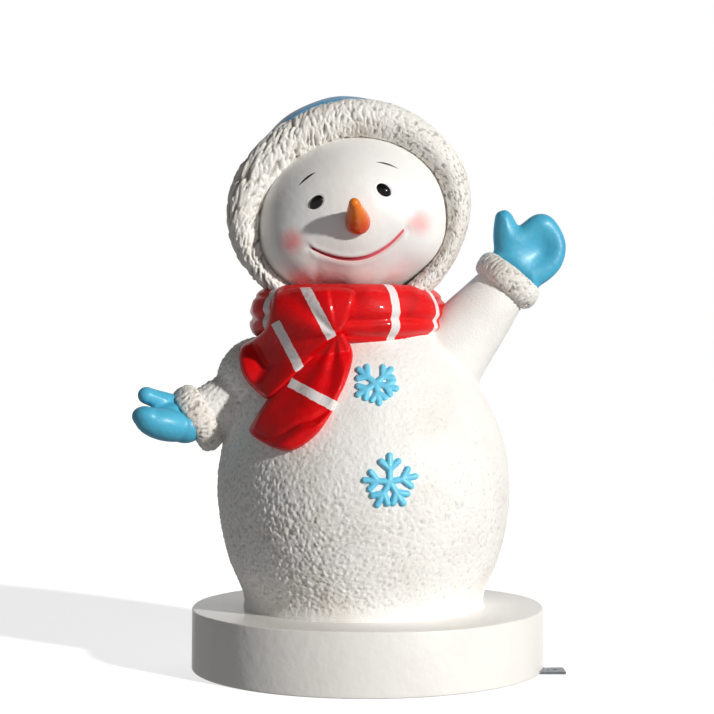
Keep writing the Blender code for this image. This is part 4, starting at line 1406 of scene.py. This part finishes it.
# %% Fur cuffs
CUFF_MIDDLE = 0.0555
CUFF_HALF_LENGTH = 0.024
CUFF_RISE = 0.0145
CUFF_HALF_GIRTH = 0.0195
CUFF_RINGS = 260
CUFF_SIDES = 76
CUFF_LOCKS = 1600


def make_cuff(name, place, seed, node):
    turn = full_turn(CUFF_RINGS)[:, None]
    section = full_turn(CUFF_SIDES)[None, :]
    reach = CUFF_MIDDLE + CUFF_RISE * np.cos(section) + 0.0012 * np.sin(turn * 5 + seed)
    points = stacked(reach * np.cos(turn), reach * np.sin(turn), CUFF_HALF_LENGTH * np.sin(section))
    points = points @ np.array(place.to_3x3()).T + np.array(place.translation)
    rng = np.random.default_rng(seed)
    locks = []
    for _ in range(CUFF_LOCKS):
        ring, side = int(rng.integers(CUFF_RINGS)), int(rng.integers(CUFF_SIDES))
        lean = rng.normal(math.pi / 2, 0.5)
        locks.append((ring, side, rng.uniform(0.006, 0.011), rng.uniform(0.0028, 0.0045), lean,
                      rng.uniform(0.6, 1.0)))
    steps = np.full(CUFF_RINGS, CUFF_MIDDLE * math.tau / CUFF_RINGS)
    relief = carve(CUFF_RINGS, CUFF_SIDES, steps, math.tau * CUFF_HALF_GIRTH / CUFF_SIDES, locks)
    cuff = roll(name, points, relief, 0.0050)
    return finish_piece(cuff, FUR_PAINT, "carved_fur", node)


waving_hand = frame_along(WAVING_WRIST, WAVING_WRIST - WAVING_SHOULDER)
open_hand = frame_along(OPEN_WRIST, OPEN_WRIST - OPEN_SHOULDER)
make_cuff("waving_cuff", waving_hand, 11, "waving_fur_cuff")
make_cuff("open_cuff", open_hand, 12, "open_fur_cuff")

# %% Raised mitten
RAISED_GUIDE = (
    (-0.047, 0.010), (-0.060, 0.030), (-0.080, 0.052), (-0.095, 0.074), (-0.102, 0.088), (-0.100, 0.098),
    (-0.092, 0.107), (-0.080, 0.108), (-0.066, 0.103), (-0.053, 0.099), (-0.049, 0.112), (-0.045, 0.128),
    (-0.038, 0.141), (-0.026, 0.150), (-0.012, 0.153), (0.006, 0.150), (0.026, 0.142), (0.044, 0.129),
    (0.056, 0.112), (0.063, 0.094), (0.065, 0.078), (0.063, 0.058), (0.056, 0.034), (0.046, 0.012),
)


def make_raised_mitten():
    outline = smooth_line(RAISED_GUIDE, 4, closed=True)
    mitten = cut_out("raised_mitten", outline, 0.030, 0.0028)
    pillow(mitten, outline, 0.030, 0.032, 0.036)
    points = places(mitten)
    palm = hump(np.hypot((points[:, 0] - 0.014) / 0.040, (points[:, 2] - 0.092) / 0.050), 0.85)
    points[:, 1] += np.where(points[:, 1] < 0, 0.019 * palm, 0)
    mitten = settled(remeshed(set_places(mitten, points), 0.0022, 5), waving_hand)
    return finish_piece(mitten, MITTEN_BLUE, "light_blue", "waving_mitten")


make_raised_mitten()

# %% Held-out mitten
LOBES = (
    ((-0.392, -0.078, 0.4845), (0.068, 0.043, 0.034), 10),
    ((-0.359, -0.060, 0.4800), (0.037, 0.042, 0.034), 0),
    ((-0.427, -0.100, 0.4975), (0.030, 0.034, 0.023), 18),
    ((-0.382, -0.056, 0.5035), (0.043, 0.034, 0.027), 8),
)
LOBE_TURN = 36
THUMB_ROOT = Vector((-0.366, -0.040, 0.5150))
THUMB_TIP = Vector((-0.432, -0.072, 0.5410))


def make_held_out_mitten():
    balls = [ball("lobe", centre, radii, (0, math.radians(rise), math.radians(LOBE_TURN)))
             for centre, radii, rise in LOBES]
    for share in np.arange(9) / 8:
        radius = 0.0222 - 0.0040 * share
        balls.append(ball("thumb", THUMB_ROOT.lerp(THUMB_TIP, share), radius, segments=24))
    mitten = remeshed(joined("held_out_mitten", *balls), 0.0024, 6)
    points = places(mitten)
    palm = hump(np.hypot((points[:, 0] + 0.400) / 0.040, (points[:, 1] + 0.082) / 0.024), 0.9)
    points[:, 2] -= np.where(normals(mitten)[:, 2] > 0.3, 0.004 * palm, 0)
    set_places(mitten, points)
    modify(mitten, "SMOOTH", factor=0.5, iterations=3)
    return finish_piece(mitten, MITTEN_BLUE, "light_blue", "open_mitten")


make_held_out_mitten()

# %% [markdown]
# ## Snowflakes
# Each snowflake has five rays with a pair of prongs on each, cast as soft, half-melted bars. One ray is
# modelled from stretched balls, copied round the middle, melted together, and bent onto the body's curve.

# %% Snowflakes
RAY_THICKNESS = 0.0132
RAY_RADII = (RAY_THICKNESS / 2, RAY_THICKNESS * 0.64, RAY_THICKNESS / 2)
PRONG_SPREAD = math.radians(48)
BEAD_GAP = 0.004
FLAKE_VOXEL = 0.0013
UPPER_RAYS = ((0.041, 42), (0.043, 141), (0.041, 212), (0.039, 281), (0.042, 346))
LOWER_RAYS = ((0.050, 90), (0.049, 176), (0.050, 241), (0.049, 302), (0.050, 11))


def ray(reach):
    """A ray along +X in the XZ plane, with its two prongs, as rows of beads."""
    prong_at, prong = reach * 0.46, reach * 0.42
    bars = [(0.0, 0.0, reach - RAY_THICKNESS / 6, 0.0)]
    for spread in (-PRONG_SPREAD, PRONG_SPREAD):
        bars.append((prong_at, 0.0, prong_at + prong * math.cos(spread), prong * math.sin(spread)))
    beads = []
    for x0, z0, x1, z1 in bars:
        count = max(3, int(math.hypot(x1 - x0, z1 - z0) / BEAD_GAP))
        for share in np.arange(count + 1) / count:
            place = (x0 + (x1 - x0) * share, 0, z0 + (z1 - z0) * share)
            beads.append(ball("bead", place, RAY_RADII, segments=12))
    return joined("ray", *beads)


def make_snowflake(name, centre, shape, node):
    """shape gives each ray's reach, and its angle in degrees."""
    rays = [settled(ray(reach), Matrix.Rotation(-math.radians(angle), 4, "Y")) for reach, angle in shape]
    flake = remeshed(joined(name, *rays), FLAKE_VOXEL, 4)
    points = places(flake) + np.array((centre[0], 0, centre[1]))
    points[:, 1] = torso_front(points[:, 0], points[:, 2]) + points[:, 1] * 0.95
    return finish_piece(set_places(flake, points), FLAKE_BLUE, "light_blue", node)


make_snowflake("upper_snowflake", (0.015, 0.566), UPPER_RAYS, "snowflake_upper")
make_snowflake("lower_snowflake", (0.041, 0.386), LOWER_RAYS, "snowflake_lower")

# %% [markdown]
# ## Stage, light and camera
# A pale floor under a soft white world, one low main lamp to the figure's left, and a weak, wide one
# behind that brightens its edges. The world's light fades towards overhead. The floor glows a little, so
# that it stays pale where the low lamp only grazes it, and it is hidden from diffuse and glossy rays, so
# that this glow doesn't wash out the figure's shaded side.

# %% Floor
FLOOR_SIZE = 60
FLOOR_Z = -0.0005
FLOOR_GLOW = 0.66
WHITE = (1.0, 1.0, 1.0)


def make_floor():
    clear_selection()
    bpy.ops.mesh.primitive_plane_add(size=FLOOR_SIZE, location=(0, FLOOR_SIZE / 3, FLOOR_Z))
    floor = added("studio_floor")
    paint = Finish("pale_floor")
    colour = paint.mix(tint(246, 246, 246), tint(242, 242, 242), paint.noise(0.4, 2.0))
    glow = {"emission_color": (*WHITE, 1.0), "emission_strength": FLOOR_GLOW}
    floor.data.materials.append(paint.surface(colour, 0.9, **glow))
    floor.visible_diffuse = False
    floor.visible_glossy = False


make_floor()

# %% Lights
def sun_lamp(name, side, height, energy, spread, colour):
    """A far lamp. side is its angle from the camera towards the figure's left. Angles are in degrees."""
    clear_selection()
    bpy.ops.object.light_add(type="SUN", location=(2, -2, 2))
    lamp = bpy.context.object
    lamp.name = name
    lamp.data.energy = energy
    lamp.data.angle = math.radians(spread)
    lamp.data.color = colour
    turn, rise = math.radians(side), math.radians(height)
    way = Vector((-math.sin(turn) * math.cos(rise), math.cos(turn) * math.cos(rise), -math.sin(rise)))
    lamp.rotation_euler = way.to_track_quat("-Z", "Y").to_euler()


def white_world(level, overhead, colour):
    """Plain white past the floor, and on the figure a weaker light that fades towards overhead."""
    world = bpy.data.worlds.new("white_studio")
    bpy.context.scene.world = world
    world.use_nodes = True
    nodes, links = world.node_tree.nodes, world.node_tree.links
    around = nodes["Background"]
    around.inputs["Color"].default_value = (*colour, 1.0)
    point = nodes.new("ShaderNodeTexCoord")
    split = nodes.new("ShaderNodeSeparateXYZ")
    fade = nodes.new("ShaderNodeMapRange")
    fade.inputs["To Min"].default_value = level
    fade.inputs["To Max"].default_value = overhead
    links.new(point.outputs["Generated"], split.inputs[0])
    links.new(split.outputs["Z"], fade.inputs["Value"])
    links.new(fade.outputs[0], around.inputs["Strength"])
    behind = nodes.new("ShaderNodeBackground")
    behind.inputs["Color"].default_value = (*WHITE, 1.0)
    seen = nodes.new("ShaderNodeLightPath")
    choice = nodes.new("ShaderNodeMixShader")
    links.new(seen.outputs["Is Camera Ray"], choice.inputs[0])
    links.new(around.outputs[0], choice.inputs[1])
    links.new(behind.outputs[0], choice.inputs[2])
    links.new(choice.outputs[0], nodes["World Output"].inputs["Surface"])


sun_lamp("low_sun", side=47, height=19, energy=3.25, spread=3, colour=(1.0, 0.988, 0.965))
sun_lamp("back_fill", side=175, height=14, energy=0.80, spread=70, colour=WHITE)
white_world(level=0.265, overhead=0.0, colour=(0.98, 0.985, 1.0))
print("lit by two lamps and the world")

# %% Camera
clear_selection()
bpy.ops.object.camera_add(location=(0, -3.4, 0.6), rotation=(math.radians(90), 0, 0))
camera = bpy.context.object
camera.name = "studio_camera"
camera.data.lens = 85.7
camera.data.sensor_width = 36
camera.data.shift_x = -0.0147
camera.data.shift_y = 0.0112
bpy.context.scene.camera = camera
bpy.context.scene.view_settings.view_transform = "Standard"
